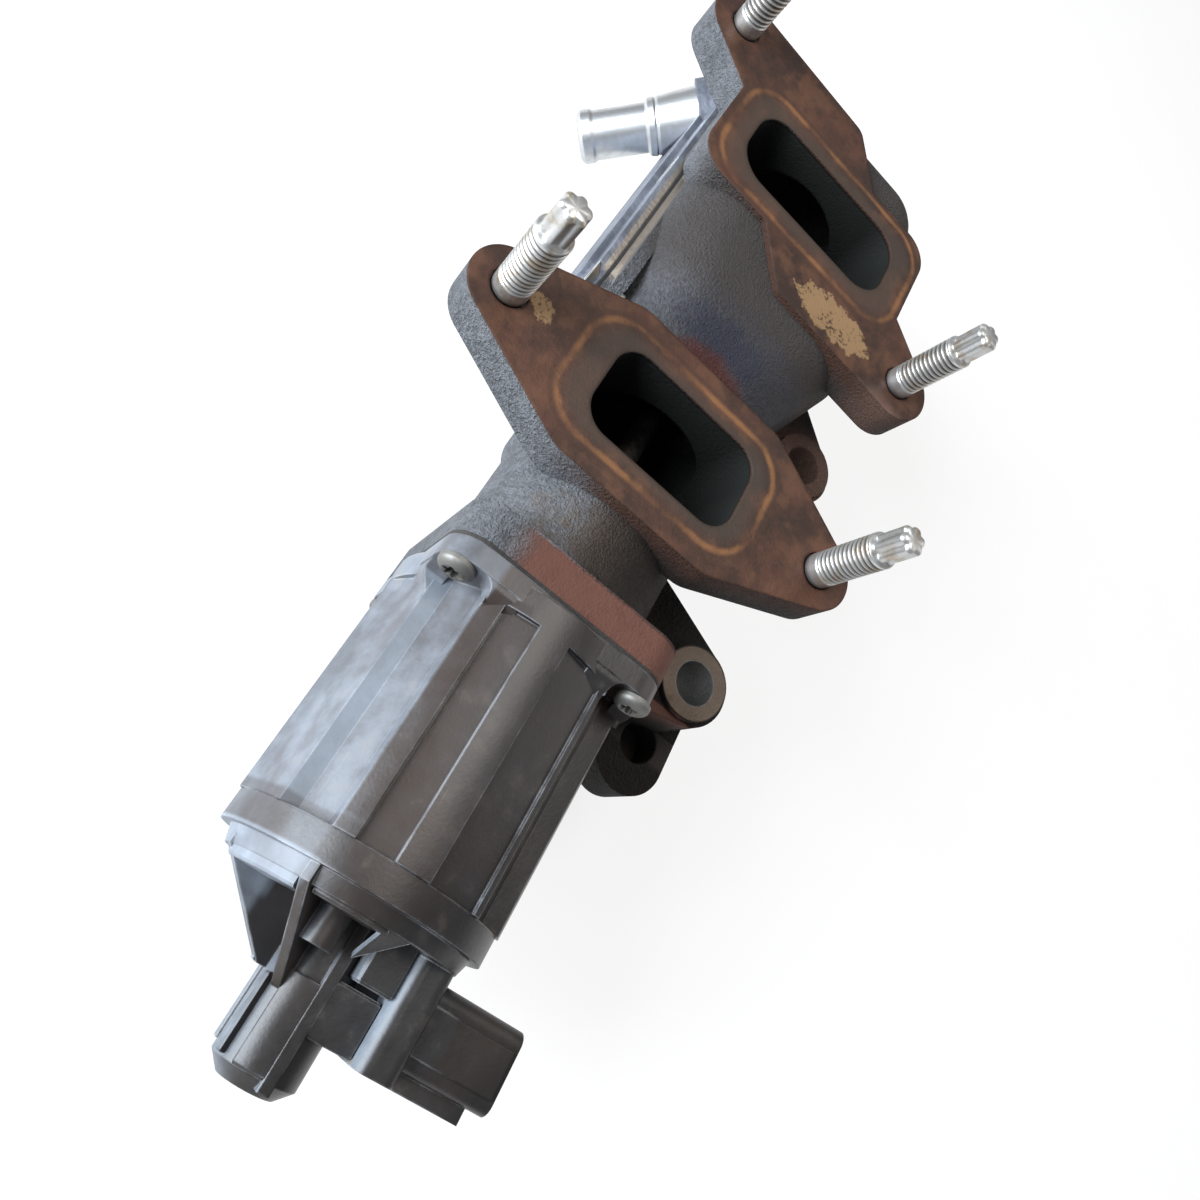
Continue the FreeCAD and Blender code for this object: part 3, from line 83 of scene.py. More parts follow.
class Paint:
    def __init__(self, name):
        self.material = bpy.data.materials.new(name)
        self.material.use_nodes = True
        self.tree = self.material.node_tree
        self.tree.nodes.clear()
        self.surface = self.tree.nodes.new("ShaderNodeBsdfPrincipled")
        self.output = self.tree.nodes.new("ShaderNodeOutputMaterial")
        self.tree.links.new(self.surface.outputs["BSDF"], self.output.inputs["Surface"])
        self.places = self.node("ShaderNodeTexCoord")
        self.place = Wire(self, self.places.outputs["Object"])
        self.facing = Wire(self, self.places.outputs["Normal"])

    def node(self, kind, settings=None, inputs=None):
        # Any node: its settings first, then the values or wires of its sockets
        node = self.tree.nodes.new(kind)
        for key, value in (settings or {}).items():
            setattr(node, key, value)
        for key, value in (inputs or {}).items():
            self.feed(node.inputs[key], value)
        return node

    def feed(self, socket, value):
        if isinstance(value, Wire):
            self.tree.links.new(value.socket, socket)
        elif isinstance(value, tuple) and len(value) == 3 and socket.type == "RGBA":
            socket.default_value = value + (1.0,)
        else:
            socket.default_value = value

    def sums(self, operation, first, second=0.0, clamp=False):
        node = self.node("ShaderNodeMath", {"operation": operation, "use_clamp": clamp},
                         {0: first, 1: second})
        return Wire(self, node.outputs[0])

    def split(self, vector):
        node = self.node("ShaderNodeSeparateXYZ", None, {0: vector})
        return [Wire(self, node.outputs[k]) for k in range(3)]

    def size(self, x, y):
        # Length of the flat vector (x, y)
        flat = self.node("ShaderNodeCombineXYZ", None, {0: x, 1: y})
        node = self.node("ShaderNodeVectorMath", {"operation": "LENGTH"}, {0: Wire(self, flat.outputs[0])})
        return Wire(self, node.outputs["Value"])

    def spot(self, x, y, centre, squeeze):
        # Distance from a centre, with x and y each counted a few times over
        return self.size((x - centre[0]) * squeeze[0], (y - centre[1]) * squeeze[1])

    def step(self, value, low, high):
        # 0 at low, 1 at high, smooth between; low may be the larger
        node = self.node("ShaderNodeMapRange", {"interpolation_type": "SMOOTHSTEP"},
                         {"Value": value, "From Min": low, "From Max": high})
        return Wire(self, node.outputs[0])

    def least(self, first, second):
        return self.sums("MINIMUM", first, second)

    def most(self, first, second):
        return self.sums("MAXIMUM", first, second)

    def scaled(self, factors):
        node = self.node("ShaderNodeVectorMath", {"operation": "MULTIPLY"}, {0: self.place, 1: factors})
        return Wire(self, node.outputs[0])

    def noise(self, perMetre, detail=4.0, rough=0.55, where=None):
        node = self.node("ShaderNodeTexNoise", None,
                         {"Vector": where or self.place, "Scale": perMetre, "Detail": detail,
                          "Roughness": rough})
        return Wire(self, node.outputs["Fac"])

    def mix(self, first, second, amount):
        # First colour where amount is 0, second where it is 1
        node = self.node("ShaderNodeMix", {"data_type": "RGBA"}, {"Factor": amount})
        self.feed(node.inputs[6], first)
        self.feed(node.inputs[7], second)
        return Wire(self, node.outputs[2])

    def between(self, first, second, amount):
        # First number where amount is 0, second where it is 1
        return (1.0 - amount) * first + amount * second

    def roundedEdges(self, radius):
        return Wire(self, self.node("ShaderNodeBevel", {"samples": 6}, {"Radius": radius}).outputs[0])

    def bump(self, height, depth, normal=None, strength=1.0):
        inputs = {"Height": height, "Distance": depth, "Strength": strength}
        if normal:
            inputs["Normal"] = normal
        return Wire(self, self.node("ShaderNodeBump", None, inputs).outputs[0])

    def boxed(self, x, y, centre, half, corner):
        # Distance to a rounded box outline, below 0 inside it
        dx = self.sums("ABSOLUTE", x - centre[0]) - (half[0] - corner)
        dy = self.sums("ABSOLUTE", y - centre[1]) - (half[1] - corner)
        outside = self.size(self.most(dx, 0.0), self.most(dy, 0.0))
        return outside + self.least(self.most(dx, dy), 0.0) - corner

    def finish(self, colour, roughness, metallic=0.0, normal=None, **fixed):
        self.feed(self.surface.inputs["Base Color"], colour)
        self.feed(self.surface.inputs["Roughness"], roughness)
        self.feed(self.surface.inputs["Metallic"], metallic)
        if normal:
            self.feed(self.surface.inputs["Normal"], normal)
        for key, value in fixed.items():
            self.surface.inputs[key].default_value = value
        return self.material


def tone(red, green, blue):
    # A colour written as it looks, 0 to 255, as the linear values that a socket holds
    shares = [part / 255 for part in (red, green, blue)]
    return tuple(((c + 0.055) / 1.055) ** 2.4 if c > 10 / 255 else c / 12.92 for c in shares)


# Height of the valve axis in the frame, in mm
axisZ = -26.0

# Cast iron body: rough skin with painted shade low down and away from the light, machined faces gone brown,
# sooty ports, bright machined lug rings
casting = {
    "skin": tone(118, 121, 126), "skinDark": tone(94, 96, 100), "skinBrown": tone(52, 41, 35),
    "skinShade": tone(38, 35, 32), "earth": tone(98, 84, 70), "tint": tone(62, 60, 65),
    "umber": tone(70, 64, 61), "indigo": tone(50, 53, 70), "redTint": tone(92, 48, 42),
    "band": tone(98, 65, 55), "bandDark": tone(84, 58, 50), "rust": tone(80, 52, 40),
    "rustDark": tone(50, 35, 29), "worn": tone(100, 68, 50), "nearPort": tone(66, 56, 49),
    "portRim": tone(58, 47, 40), "imprint": tone(144, 100, 62), "groove": tone(64, 44, 35),
    "patch": tone(146, 118, 84), "pit": tone(60, 45, 36), "machined": tone(150, 143, 135),
    "lugRust": tone(112, 86, 75), "lugRing": tone(120, 106, 94), "lugBore": tone(128, 128, 126),
    "soot": tone(19, 21, 19), "sootPale": tone(28, 31, 29),
    # outlines on the port faces, in mm: middle, half size, corner radius
    "portOne": ((0.0, 0.0), (11.25, 19.5), 6.5), "portTwo": ((86.9, -1.6), (11.6, 24.5), 8.5),
    "imprintOne": ((0.0, 1.0), (15.4, 26.4), 10.0), "imprintTwo": ((86.9, -2.0), (17.2, 31.0), 10.0),
    # how far outside the imprint's outline its line and the groove run, and how much smaller patch one is
    "lineOut": 0.6, "grooveOut": 1.9, "patchOneLess": 2.4,
    # stains: middle, and how many times over x and y count
    "indigoSpot": ((32.0, 0.0), (1.0, 0.5)), "redSpot": ((24.5, 0.0), (1.35, 0.3)),
    "patchOne": ((2.0, 37.5), (1.5, 1.1)), "patchTwo": ((60.5, -19.0), (1.05, 0.5)),
    "lugs": ((-28.6, -42.0), (42.6, -42.0)),
    # in metres
    "roundedEdge": 0.0011, "sandDepth": 0.0028, "waveDepth": 0.0012,
}

# Where a finish of the casting, or its painted shade, is absent, then where it is full, in mm. A side is
# named for what
# lies that way: the motor at -X, the bore plug at +X, the lugs at -Y, the jacket cover at +Y
castingFades = {
    "faceBottom": (-0.35, -0.12), "faceUpward": (0.6, 0.9),
    "earthPlugSide": (-10.0, -18.0), "earthMotorSide": (-37.0, -34.0),
    "heatMotorSide": (14.0, 30.0), "heatCoverSide": (38.0, 14.0),
    "umberMotorSide": (40.0, 52.0), "umberCoverSide": (42.0, 30.0), "indigoReach": (13.0, 7.0),
    "brownCoverSide": (19.0, 6.0), "brownPlugSide": (12.0, -4.0),
    "duskCoverSide": (4.0, -9.0), "duskPlugSide": (10.0, -2.0),
    "lowTop": (-12.0, -36.0), "lowCoverSide": (8.0, -18.0),
    "flankTop": (-11.0, -14.0), "flankCoverSide": (-16.0, -30.0),
    "rimBottom": (-6.0, 0.6), "rimCoverSide": (38.0, 16.0), "rimSideways": (0.3, 0.1),
    "redReach": (11.5, 6.0), "bandMotorSide": (-46.0, -44.8), "bandPlugSide": (-36.2, -37.2),
    "bandCoverSide": (25.0, 18.0), "bandBottom": (-34.0, -22.0),
    "nearPortReach": (2.6, -1.6), "portRimReach": (2.6, 0.9), "imprintWidth": (1.7, 0.5),
    "grooveWidth": (0.9, 0.2), "patchReach": (10.7, 10.1),
    "jointLugSide": (27.6, 28.3), "jointMotorSide": (24.0, 27.0),
    "jointBottom": (-12.0, -11.0), "jointTop": (-10.05, -10.2),
    "lugRustReach": (17.0, 9.0), "lugRingReach": (8.9, 8.5), "lugRingBottom": (-24.6, -24.2),
    "lugBoreReach": (5.6, 5.3), "passageReach": (18.4, 17.9), "passageMotorSide": (-46.0, -45.0),
    "passagePlugSide": (121.5, 121.0), "throatReach": (0.35, 0.05), "throatTop": (-0.25, -0.9),
    "calmPlugSide": (48.0, 38.0),
}


def castIron():
    p = Paint("castIron")
    at = castingFades
    x, y, z = [part * 1000.0 for part in p.split(p.place)]
    nz = p.split(p.facing)[2]
    broad = p.noise(28.0, 3.0)
    blotch = p.noise(90.0, 5.0, 0.6)
    torn = p.noise(240.0, 6.0, 0.68)
    pebbles = p.noise(900.0, 4.0, 0.6)
    grain = p.noise(1800.0, 3.0, 0.65)
    grit = p.noise(2400.0, 3.0, 0.6)
    onFaces = p.step(z, *at["faceBottom"]) * p.step(nz, *at["faceUpward"])
    # the cast skin: pale grey to the left, slate over the jacket, brown away from the light and darkened
    # there with painted shade
    skin = p.mix(casting["skinDark"], casting["skin"], p.step(torn * 0.4 + pebbles * 0.7, 0.42, 0.66))
    earth = p.step(blotch * 0.8 + torn * 0.3 - y * 0.012, 0.34, 0.56)
    earth = earth * p.step(x, *at["earthPlugSide"]) * p.step(x, *at["earthMotorSide"])
    skin = p.mix(skin, casting["earth"], earth * 0.75)
    heat = p.step(x, *at["heatMotorSide"]) * p.step(y + broad * 16.0, *at["heatCoverSide"])
    skin = p.mix(skin, casting["tint"], heat * (p.step(broad, 0.25, 0.65) * 0.25 + 0.68))
    umber = p.step(x + blotch * 9.0, *at["umberMotorSide"])
    umber = umber * p.step(y + broad * 16.0, *at["umberCoverSide"])
    skin = p.mix(skin, casting["umber"], umber * 0.8)
    indigo = p.step(p.spot(x, y, *casting["indigoSpot"]) + torn * 8.0, *at["indigoReach"])
    skin = p.mix(skin, casting["indigo"], indigo * 0.7)
    brown = p.step(y + broad * 8.0 + blotch * 6.0, *at["brownCoverSide"]) * p.step(x, *at["brownPlugSide"])
    skin = p.mix(skin, casting["skinBrown"], brown * 0.85)
    # painted shade: the skin darkens on the neck's side away from the light, low down, and on the lower lug
    # side
    dusk = p.step(y + blotch * 4.0, *at["duskCoverSide"]) * p.step(x, *at["duskPlugSide"])
    low = p.step(z, *at["lowTop"]) * p.step(y, *at["lowCoverSide"])
    flank = p.step(y, *at["flankCoverSide"]) * p.step(z, *at["flankTop"])
    skin = p.mix(skin, casting["skinShade"], p.most(p.most(low, flank), dusk * 0.6) * 0.88)
    # flange rims are brown near the machined face, and reddened by heat between the flanges
    rim = p.step(z + torn * 5.0, *at["rimBottom"])
    rim = rim * p.step(y + broad * 18.0 + blotch * 8.0, *at["rimCoverSide"])
    rim = rim * p.step(nz, *at["rimSideways"])
    skin = p.mix(skin, casting["rust"], rim * 0.9)
    bent = p.sums("ABSOLUTE", y) * 0.25 + x
    red = p.step(p.spot(bent, y, *casting["redSpot"]) + torn * 6.0, *at["redReach"])
    skin = p.mix(skin, casting["redTint"], red * 0.85)
    # the band by the actuator's gasket
    band = p.step(x, *at["bandMotorSide"]) * p.step(x + torn, *at["bandPlugSide"])
    band = band * p.step(y + broad * 12.0, *at["bandCoverSide"])
    bandTone = p.mix(casting["band"], casting["bandDark"], p.step(torn, 0.42, 0.7) * 0.55)
    skin = p.mix(skin, bandTone, band * p.step(z, *at["bandBottom"]))
    # machined port faces: chestnut, greyer round the ports, with the gasket's imprint and sealant
    near = p.least(p.boxed(x, y, *casting["portOne"]), p.boxed(x, y, *casting["portTwo"]))
    face = p.mix(casting["rust"], casting["rustDark"], p.step(torn * 0.5 + broad * 0.8, 0.5, 0.76))
    face = p.mix(face, casting["worn"], p.step(blotch + torn * 0.4, 0.66, 0.84) * 0.6)
    fromImprint = p.least(p.boxed(x, y, *casting["imprintOne"]), p.boxed(x, y, *casting["imprintTwo"]))
    greyer = p.step(fromImprint + blotch * 3.0 + broad * 2.0, *at["nearPortReach"])
    face = p.mix(face, casting["nearPort"], greyer * 0.7)
    face = p.mix(face, casting["portRim"], p.step(near + torn * 1.4, *at["portRimReach"]) * 0.6)
    imprint = p.sums("ABSOLUTE", fromImprint + blotch * 1.2 - casting["lineOut"])
    line = p.step(imprint + torn * 0.9, *at["imprintWidth"]) * p.step(blotch * 0.8 + broad * 0.8, 0.6, 1.0)
    face = p.mix(face, casting["imprint"], line * 0.68)
    fromGroove = p.sums("ABSOLUTE", fromImprint + torn * 0.8 - casting["grooveOut"])
    groove = p.step(fromGroove, *at["grooveWidth"])
    face = p.mix(face, casting["groove"], groove * 0.55)
    spotOne = p.spot(x, y, *casting["patchOne"]) + casting["patchOneLess"]
    spotTwo = p.spot(x, y, *casting["patchTwo"])
    patch = p.step(p.least(spotTwo, spotOne) + torn * 9.0, *at["patchReach"])
    patch = patch * p.step(blotch * 0.5 + pebbles * 0.6, 0.46, 0.54)
    face = p.mix(face, casting["patch"], patch * 0.8)
    face = p.mix(face, casting["pit"], p.step(grit + torn * 0.5, 0.88, 1.0) * 0.5)
    colour = p.mix(skin, face, onFaces)
    # bright machined edges: the joint of the jacket and the lug rings
    joint = p.step(y, *at["jointLugSide"]) * p.step(z, *at["jointBottom"])
    joint = joint * p.step(z, *at["jointTop"]) * p.step(x, *at["jointMotorSide"])
    colour = p.mix(colour, casting["machined"], joint * p.step(torn, 0.25, 0.4))
    lugOne, lugTwo = [p.size(x - lugX, y - lugY) for lugX, lugY in casting["lugs"]]
    colour = p.mix(colour, casting["lugRust"], p.step(lugTwo + torn * 4.0, *at["lugRustReach"]))
    ring = p.step(lugOne, *at["lugRingReach"]) * p.step(z, *at["lugRingBottom"])
    bored = p.step(lugOne, *at["lugBoreReach"])
    colour = p.mix(colour, casting["lugRing"], ring * p.step(blotch, 0.2, 0.45))
    colour = p.mix(colour, casting["lugBore"], bored)
    # soot inside the gas passage
    passage = p.step(p.size(y, z - axisZ), *at["passageReach"])
    passage = passage * p.step(x, *at["passageMotorSide"]) * p.step(x, *at["passagePlugSide"])
    throat = p.step(near, *at["throatReach"]) * p.step(z, *at["throatTop"])
    sooty = p.most(passage, throat)
    sootTone = p.mix(casting["soot"], casting["sootPale"], p.step(grit * 0.5 + torn, 0.86, 1.02) * 0.8)
    colour = p.mix(colour, sootTone, sooty)
    bright = p.most(joint, p.most(ring, bored) * 0.8)
    metallic = (bright * 0.7 + 0.1) * (1.0 - sooty)
    roughness = p.between(0.58 + blotch * 0.3, 0.3 + torn * 0.25, bright)
    roughness = p.between(roughness, 0.4 + torn * 0.3, onFaces)
    roughness = p.between(roughness, 0.78, sooty)
    # sandy skin: pebbly on the cast sides, smooth where the mould was, none on machined faces
    calm = p.step(broad + blotch * 0.4, 0.78, 0.56) * 0.75 + 0.25
    calm = calm * (p.step(x, *at["calmPlugSide"]) * 0.6 + 0.4)
    smooth = p.most(p.most(onFaces, bright), p.most(sooty * 0.9, band * 0.95))
    sand = pebbles * calm + grain * 0.5
    edges = p.roundedEdges(casting["roundedEdge"])
    normal = p.bump(sand * (1.0 - smooth * 0.95), casting["sandDepth"], edges, 1.0)
    normal = p.bump(broad + blotch * 0.3, casting["waveDepth"], normal, 0.6)
    return p.finish(colour, roughness, metallic, normal, **{"Specular IOR Level": 0.3})


# Moulded plastic of the actuator: black, filmed with pale dust and painted sheen on the faces toward the
# light, edges rubbed bright with painted highlights
moulding = {
    "black": tone(26, 24, 23), "brown": tone(52, 43, 38), "paleDustAndSheen": tone(140, 150, 162),
    "mudAndSheen": tone(118, 106, 92), "scuffAndGlint": tone(176, 180, 186), "roundedEdge": 0.0005,
}

# Where a patch of dust and painted light, or a dark one of painted shade, is absent, then where it is full,
# in mm of the frame
dustAndLightFades = {
    "coverSide": (13.4, 15.0),
    "ridgeStart": (-96.4, -95.6), "ridgeEnd": (-49.0, -51.5), "ridgeSide": (14.3, 14.0),
    "ledgeSide": (17.4, 18.2), "ledgeBottom": (-13.4, -12.6), "ledgeTop": (-8.0, -10.0),
    "shoulderStart": (-103.6, -104.2), "shoulderEnd": (-113.0, -111.0), "shoulderSide": (12.6, 13.6),
    "rimStart": (-96.4, -97.4), "rimEnd": (-104.2, -103.6),
}


def mouldedPlastic(name, cover=0.0):
    p = Paint(name)
    at = dustAndLightFades
    ny, nz = p.split(p.facing)[1:]
    broad = p.noise(26.0, 3.0, 0.5, p.scaled((0.5, 1.0, 1.0)))
    cloud = p.noise(70.0, 4.0, 0.55, p.scaled((0.45, 1.0, 1.0)))
    blotch = p.noise(210.0, 5.0, 0.62)
    fine = p.noise(1600.0, 3.0)
    colour = p.mix(moulding["black"], moulding["brown"], p.step(broad, 0.35, 0.65))
    along, across, up = [part * 1000.0 for part in p.split(p.place)]
    # faces and parts turned toward the window lamp, which get painted sheen
    towardLight = p.most(p.step(ny, 0.3, 0.95), p.step(across, *at["coverSide"]) * 0.8)
    # painted light and shade: the ridge beside the screw channel stays dark, the channel's ledge is pale
    ridge = p.step(along, *at["ridgeStart"]) * p.step(along, *at["ridgeEnd"])
    ridge = ridge * p.step(across, *at["ridgeSide"])
    towardLight = towardLight * (1.0 - ridge * 0.75)
    ledge = p.step(nz, 0.85, 0.95) * p.step(across, *at["ledgeSide"])
    ledge = ledge * p.step(up, *at["ledgeBottom"]) * p.step(up, *at["ledgeTop"])
    # the pale film is dust in cloudy patches plus painted sheen on the faces toward the light
    filmAndSheen = p.step(cloud * 0.7 + blotch * 0.4, 0.38, 0.74) * (towardLight * 0.42 + 0.05) + towardLight * 0.22
    # more painted light on the cap's shoulder toward the light, less film on the rim
    shoulder = p.step(along, *at["shoulderStart"]) * p.step(along, *at["shoulderEnd"])
    shoulder = shoulder * p.step(across, *at["shoulderSide"])
    rim = p.step(along, *at["rimStart"]) * p.step(along, *at["rimEnd"])
    filmAndSheen = (filmAndSheen + cloud * cover + shoulder * 0.22 + ledge * 0.4) * (1.0 - rim * 0.5)
    filmAndSheen = p.sums("ADD", filmAndSheen, clamp=True)
    colour = p.mix(colour, moulding["paleDustAndSheen"], filmAndSheen)
    # brown patches of mud, laid on more thickly on the faces toward the light: partly dirt, partly painted
    # light
    mudAndSheen = p.step(blotch + cloud * 0.5, 0.82, 0.98) * (towardLight * 0.5 + 0.12)
    colour = p.mix(colour, moulding["mudAndSheen"], mudAndSheen)
    # rubbed edges, partly wear and partly painted highlight: where the rounded normal leaves the true one
    edges = p.roundedEdges(moulding["roundedEdge"])
    true = p.node("ShaderNodeNewGeometry").outputs["Normal"]
    turn = p.node("ShaderNodeVectorMath", {"operation": "DOT_PRODUCT"}, {0: edges, 1: Wire(p, true)})
    edge = p.step(Wire(p, turn.outputs["Value"]), 0.985, 0.9) * p.step(cloud + blotch * 0.4, 0.56, 0.84)
    colour = p.mix(colour, moulding["scuffAndGlint"], edge * 0.5)
    drawnOut = p.scaled((0.08, 1.0, 1.0))
    scratch = p.step(p.noise(900.0, 2.0, 0.5, drawnOut), 0.69, 0.74) * p.step(cloud, 0.5, 0.62)
    colour = p.mix(colour, moulding["scuffAndGlint"], scratch * 0.22)
    roughness = 0.3 + filmAndSheen * 0.28 + blotch * 0.1
    normal = p.bump(fine, 0.00006, edges, 0.5)
    normal = p.bump(cloud, 0.0004, normal, 0.25)
    return p.finish(colour, roughness, 0.0, normal)


def plainMetal(name, light, dark, rough=0.3, grain=(1.0, 1.0, 1.0), stain=0.4, metallic=1.0):
    # Worked metal: a fine grain along one way, stains, and small dents
    p = Paint(name)
    blotch = p.noise(150.0, 5.0, 0.65)
    lines = p.noise(1400.0, 3.0, 0.6, p.scaled(grain))
    amount = p.step(blotch + lines * 0.3, 0.45, 0.85)
    colour = p.mix(light, dark, amount * stain + lines * 0.15)
    roughness = rough + blotch * 0.22 + lines * 0.1
    normal = p.bump(lines, 0.00006, p.roundedEdges(0.0003), 0.5)
    return p.finish(colour, roughness, metallic, normal)


def softSheet(name, light, dark, rough=0.75, perMetre=700.0):
    # Rubber, gasket sheet or sintered stuff: matt with a speckle
    p = Paint(name)
    speckle = p.noise(perMetre, 4.0, 0.7)
    broad = p.noise(80.0, 3.0)
    colour = p.mix(light, dark, p.step(speckle * 0.7 + broad * 0.4, 0.4, 0.75))
    normal = p.bump(speckle, 0.00012, p.roundedEdges(0.0003), 0.6)
    return p.finish(colour, rough + speckle * 0.15, 0.0, normal)


# Studs: rolled thread, star drive and a small dent in the end, in mm
stud = {
    "places": ((0.0, 44.3), (0.0, -44.3), (61.5, -43.0), (112.3, 39.8)), "radius": 3.98,
    "bottom": -9.9, "root": 3.66, "top": 27.0, "atFlange": (-0.06, 0.02),
    "pitch": 1.25, "threadDepth": 0.62, "threadStart": 3.2, "threadEnd": 18.6,
    "fadeIn": 1.2, "fadeOut": 1.0, "ridgeSlope": 1.35, "ridgeGap": 0.12,
    "starRadius": 3.3, "starFlute": 0.62, "starPower": 1.6, "neck": 0.9,
    "tip": 0.9, "tipRound": 0.75, "dent": 0.35, "rows": 330, "columns": 60,
}

# Zinc plating of studs and screws
plating = {
    "light": tone(200, 201, 200), "warm": tone(168, 152, 128), "speck": tone(84, 78, 72),
    "grooveBrown": tone(72, 58, 46), "footBrown": tone(70, 62, 58),
}

# Where the darker brown on the studs is absent, then where it is full, in mm
studBrownFades = {
    "threadReach": (3.86, 3.52), "threadBottom": (2.0, 3.2), "threadTop": (19.6, 18.4),
    "footTop": (2.6, 0.8), "footReach": (6.0, 5.0),
}


def platedSteel(name, light=plating["light"], warm=plating["warm"], dirt=0.4, rough=0.26):
    # A bronze tint here and there, and darker brown in the thread grooves and at the studs' feet
    p = Paint(name)
    at = studBrownFades
    x, y, z = [part * 1000.0 for part in p.split(p.place)]
    blotch = p.noise(220.0, 4.0, 0.6)
    fine = p.noise(1500.0, 4.0, 0.6)
    colour = p.mix(light, warm, p.step(blotch, 0.48, 0.66) * 0.7)
    colour = p.mix(colour, plating["speck"], p.step(fine + blotch * 0.4, 0.8, 0.98) * dirt)
    fromStuds = [p.size(x - studX, y - studY) for studX, studY in stud["places"]]
    fromStud = fromStuds[0]
    for other in fromStuds[1:]:
        fromStud = p.least(fromStud, other)
    groove = p.step(fromStud, *at["threadReach"])
    groove = groove * p.step(z, *at["threadBottom"]) * p.step(z, *at["threadTop"])
    colour = p.mix(colour, plating["grooveBrown"], groove * 0.85)
    atFoot = p.step(z + blotch * 2.0, *at["footTop"]) * p.step(fromStud, *at["footReach"])
    colour = p.mix(colour, plating["footBrown"], atFoot * 0.75)
    roughness = rough + blotch * 0.16 + fine * 0.1 + groove * 0.25
    return p.finish(colour, roughness, 0.88, p.bump(fine, 0.00003, None, 0.4))


# Jacket cover: dark blued iron with a bright machined edge at the joint
jacketCover = {
    "dark": tone(84, 89, 99), "light": tone(120, 125, 136),
    "edgeSide": (32.0, 31.4), "edgeBottom": (-11.6, -10.8),
}


def coverIron():
    p = Paint("coverIron")
    y, z = [part * 1000.0 for part in p.split(p.place)[1:]]
    blotch = p.noise(110.0, 5.0, 0.6)
    pits = p.noise(700.0, 4.0, 0.55)
    colour = p.mix(jacketCover["dark"], jacketCover["light"], p.step(blotch, 0.35, 0.7))
    edge = p.step(y, *jacketCover["edgeSide"]) * p.step(z, *jacketCover["edgeBottom"])
    colour = p.mix(colour, casting["machined"], edge)
    metallic = edge * 0.6 + 0.3
    normal = p.bump(pits, 0.0005, p.roundedEdges(0.0006), 0.6)
    return p.finish(colour, 0.42 + blotch * 0.25, metallic, normal)


# One finish for each material slot of the CAD model
finishes = {
    "rough_iron": castIron(),
    "cover_iron": coverIron(),
    "black_moulding": mouldedPlastic("blackMoulding"),
    "zinc_steel": platedSteel("zincSteel"),
    "bright_steel": plainMetal("brightTube", tone(232, 236, 240), tone(170, 168, 162), 0.2,
                               (1.0, 0.2, 0.2), 0.35),
    "plug_steel": plainMetal("pressedSteel", tone(120, 118, 116), tone(80, 70, 62), 0.4, stain=0.7),
    "valve_steel": plainMetal("valveSteel", tone(92, 88, 84), tone(34, 31, 30), 0.5, stain=0.8,
                              metallic=0.7),
    "spring_steel": plainMetal("springSteel", tone(160, 162, 166), tone(90, 88, 86), 0.25),
    "stator_steel": plainMetal("statorSheet", tone(120, 121, 124), tone(70, 68, 66), 0.4, (1.0, 4.0, 4.0)),
    "bearing_steel": plainMetal("bearingSteel", tone(205, 206, 210), tone(150, 150, 152), 0.12, stain=0.2),
    "bronze": plainMetal("bronzeBush", tone(176, 134, 84), tone(110, 80, 50), 0.4, stain=0.5),
    "copper_wire": plainMetal("copperWinding", tone(186, 106, 62), tone(120, 60, 34), 0.35,
                              (9.0, 0.6, 0.6)),
    "tinned_brass": plainMetal("tinnedBrass", tone(205, 200, 186), tone(150, 130, 90), 0.28, stain=0.3),
    "magnet": softSheet("ferrite", tone(52, 52, 55), tone(30, 30, 32), 0.6),
    "gasket_sheet": softSheet("gasketSheet", tone(52, 50, 49), tone(30, 28, 27), 0.8, 1600.0),
    "seal_rubber": softSheet("sealRubber", tone(32, 32, 33), tone(20, 20, 21), 0.7),
    "pale_moulding": softSheet("paleMoulding", tone(196, 190, 174), tone(170, 162, 146), 0.5, 1200.0),
    "board": softSheet("circuitBoard", tone(34, 88, 52), tone(24, 64, 38), 0.35, 300.0),
}
dustyScrew = platedSteel("dustyScrew", tone(126, 125, 122), tone(104, 98, 90), 0.9, 0.46)
for entry in frame["record"]["subparts"]:
    finish = dustyScrew if entry["node"] == "housing_screws" else finishes[entry["material_slot"]]
    for slot in nodes[entry["node"]].material_slots:
        slot.material = finish


def meshPiece(name, points, faces, slotName, material=None, smooth=False):
    # A mesh from plain arrays of points and faces, riding on the fixed body
    mesh = bpy.data.meshes.new(name)
    mesh.from_pydata(points.tolist(), [], [list(face) for face in faces])
    mesh.validate()
    mesh.polygons.foreach_set("use_smooth", [smooth] * len(mesh.polygons))
    mesh.materials.append(material or finishes[slotName])
    piece = bpy.data.objects.new(name, mesh)
    bpy.context.scene.collection.objects.link(piece)
    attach(piece, "housing")
    return piece


def gridFaces(rows, columns, offset=0):
    # Quads of a grid whose columns close into a ring
    row, column = np.meshgrid(np.arange(rows - 1), np.arange(columns), indexing="ij")
    after = (column + 1) % columns
    quads = np.stack([row * columns + column, row * columns + after,
                      (row + 1) * columns + after, (row + 1) * columns + column], axis=-1)
    return (quads.reshape(-1, 4) + offset).tolist()


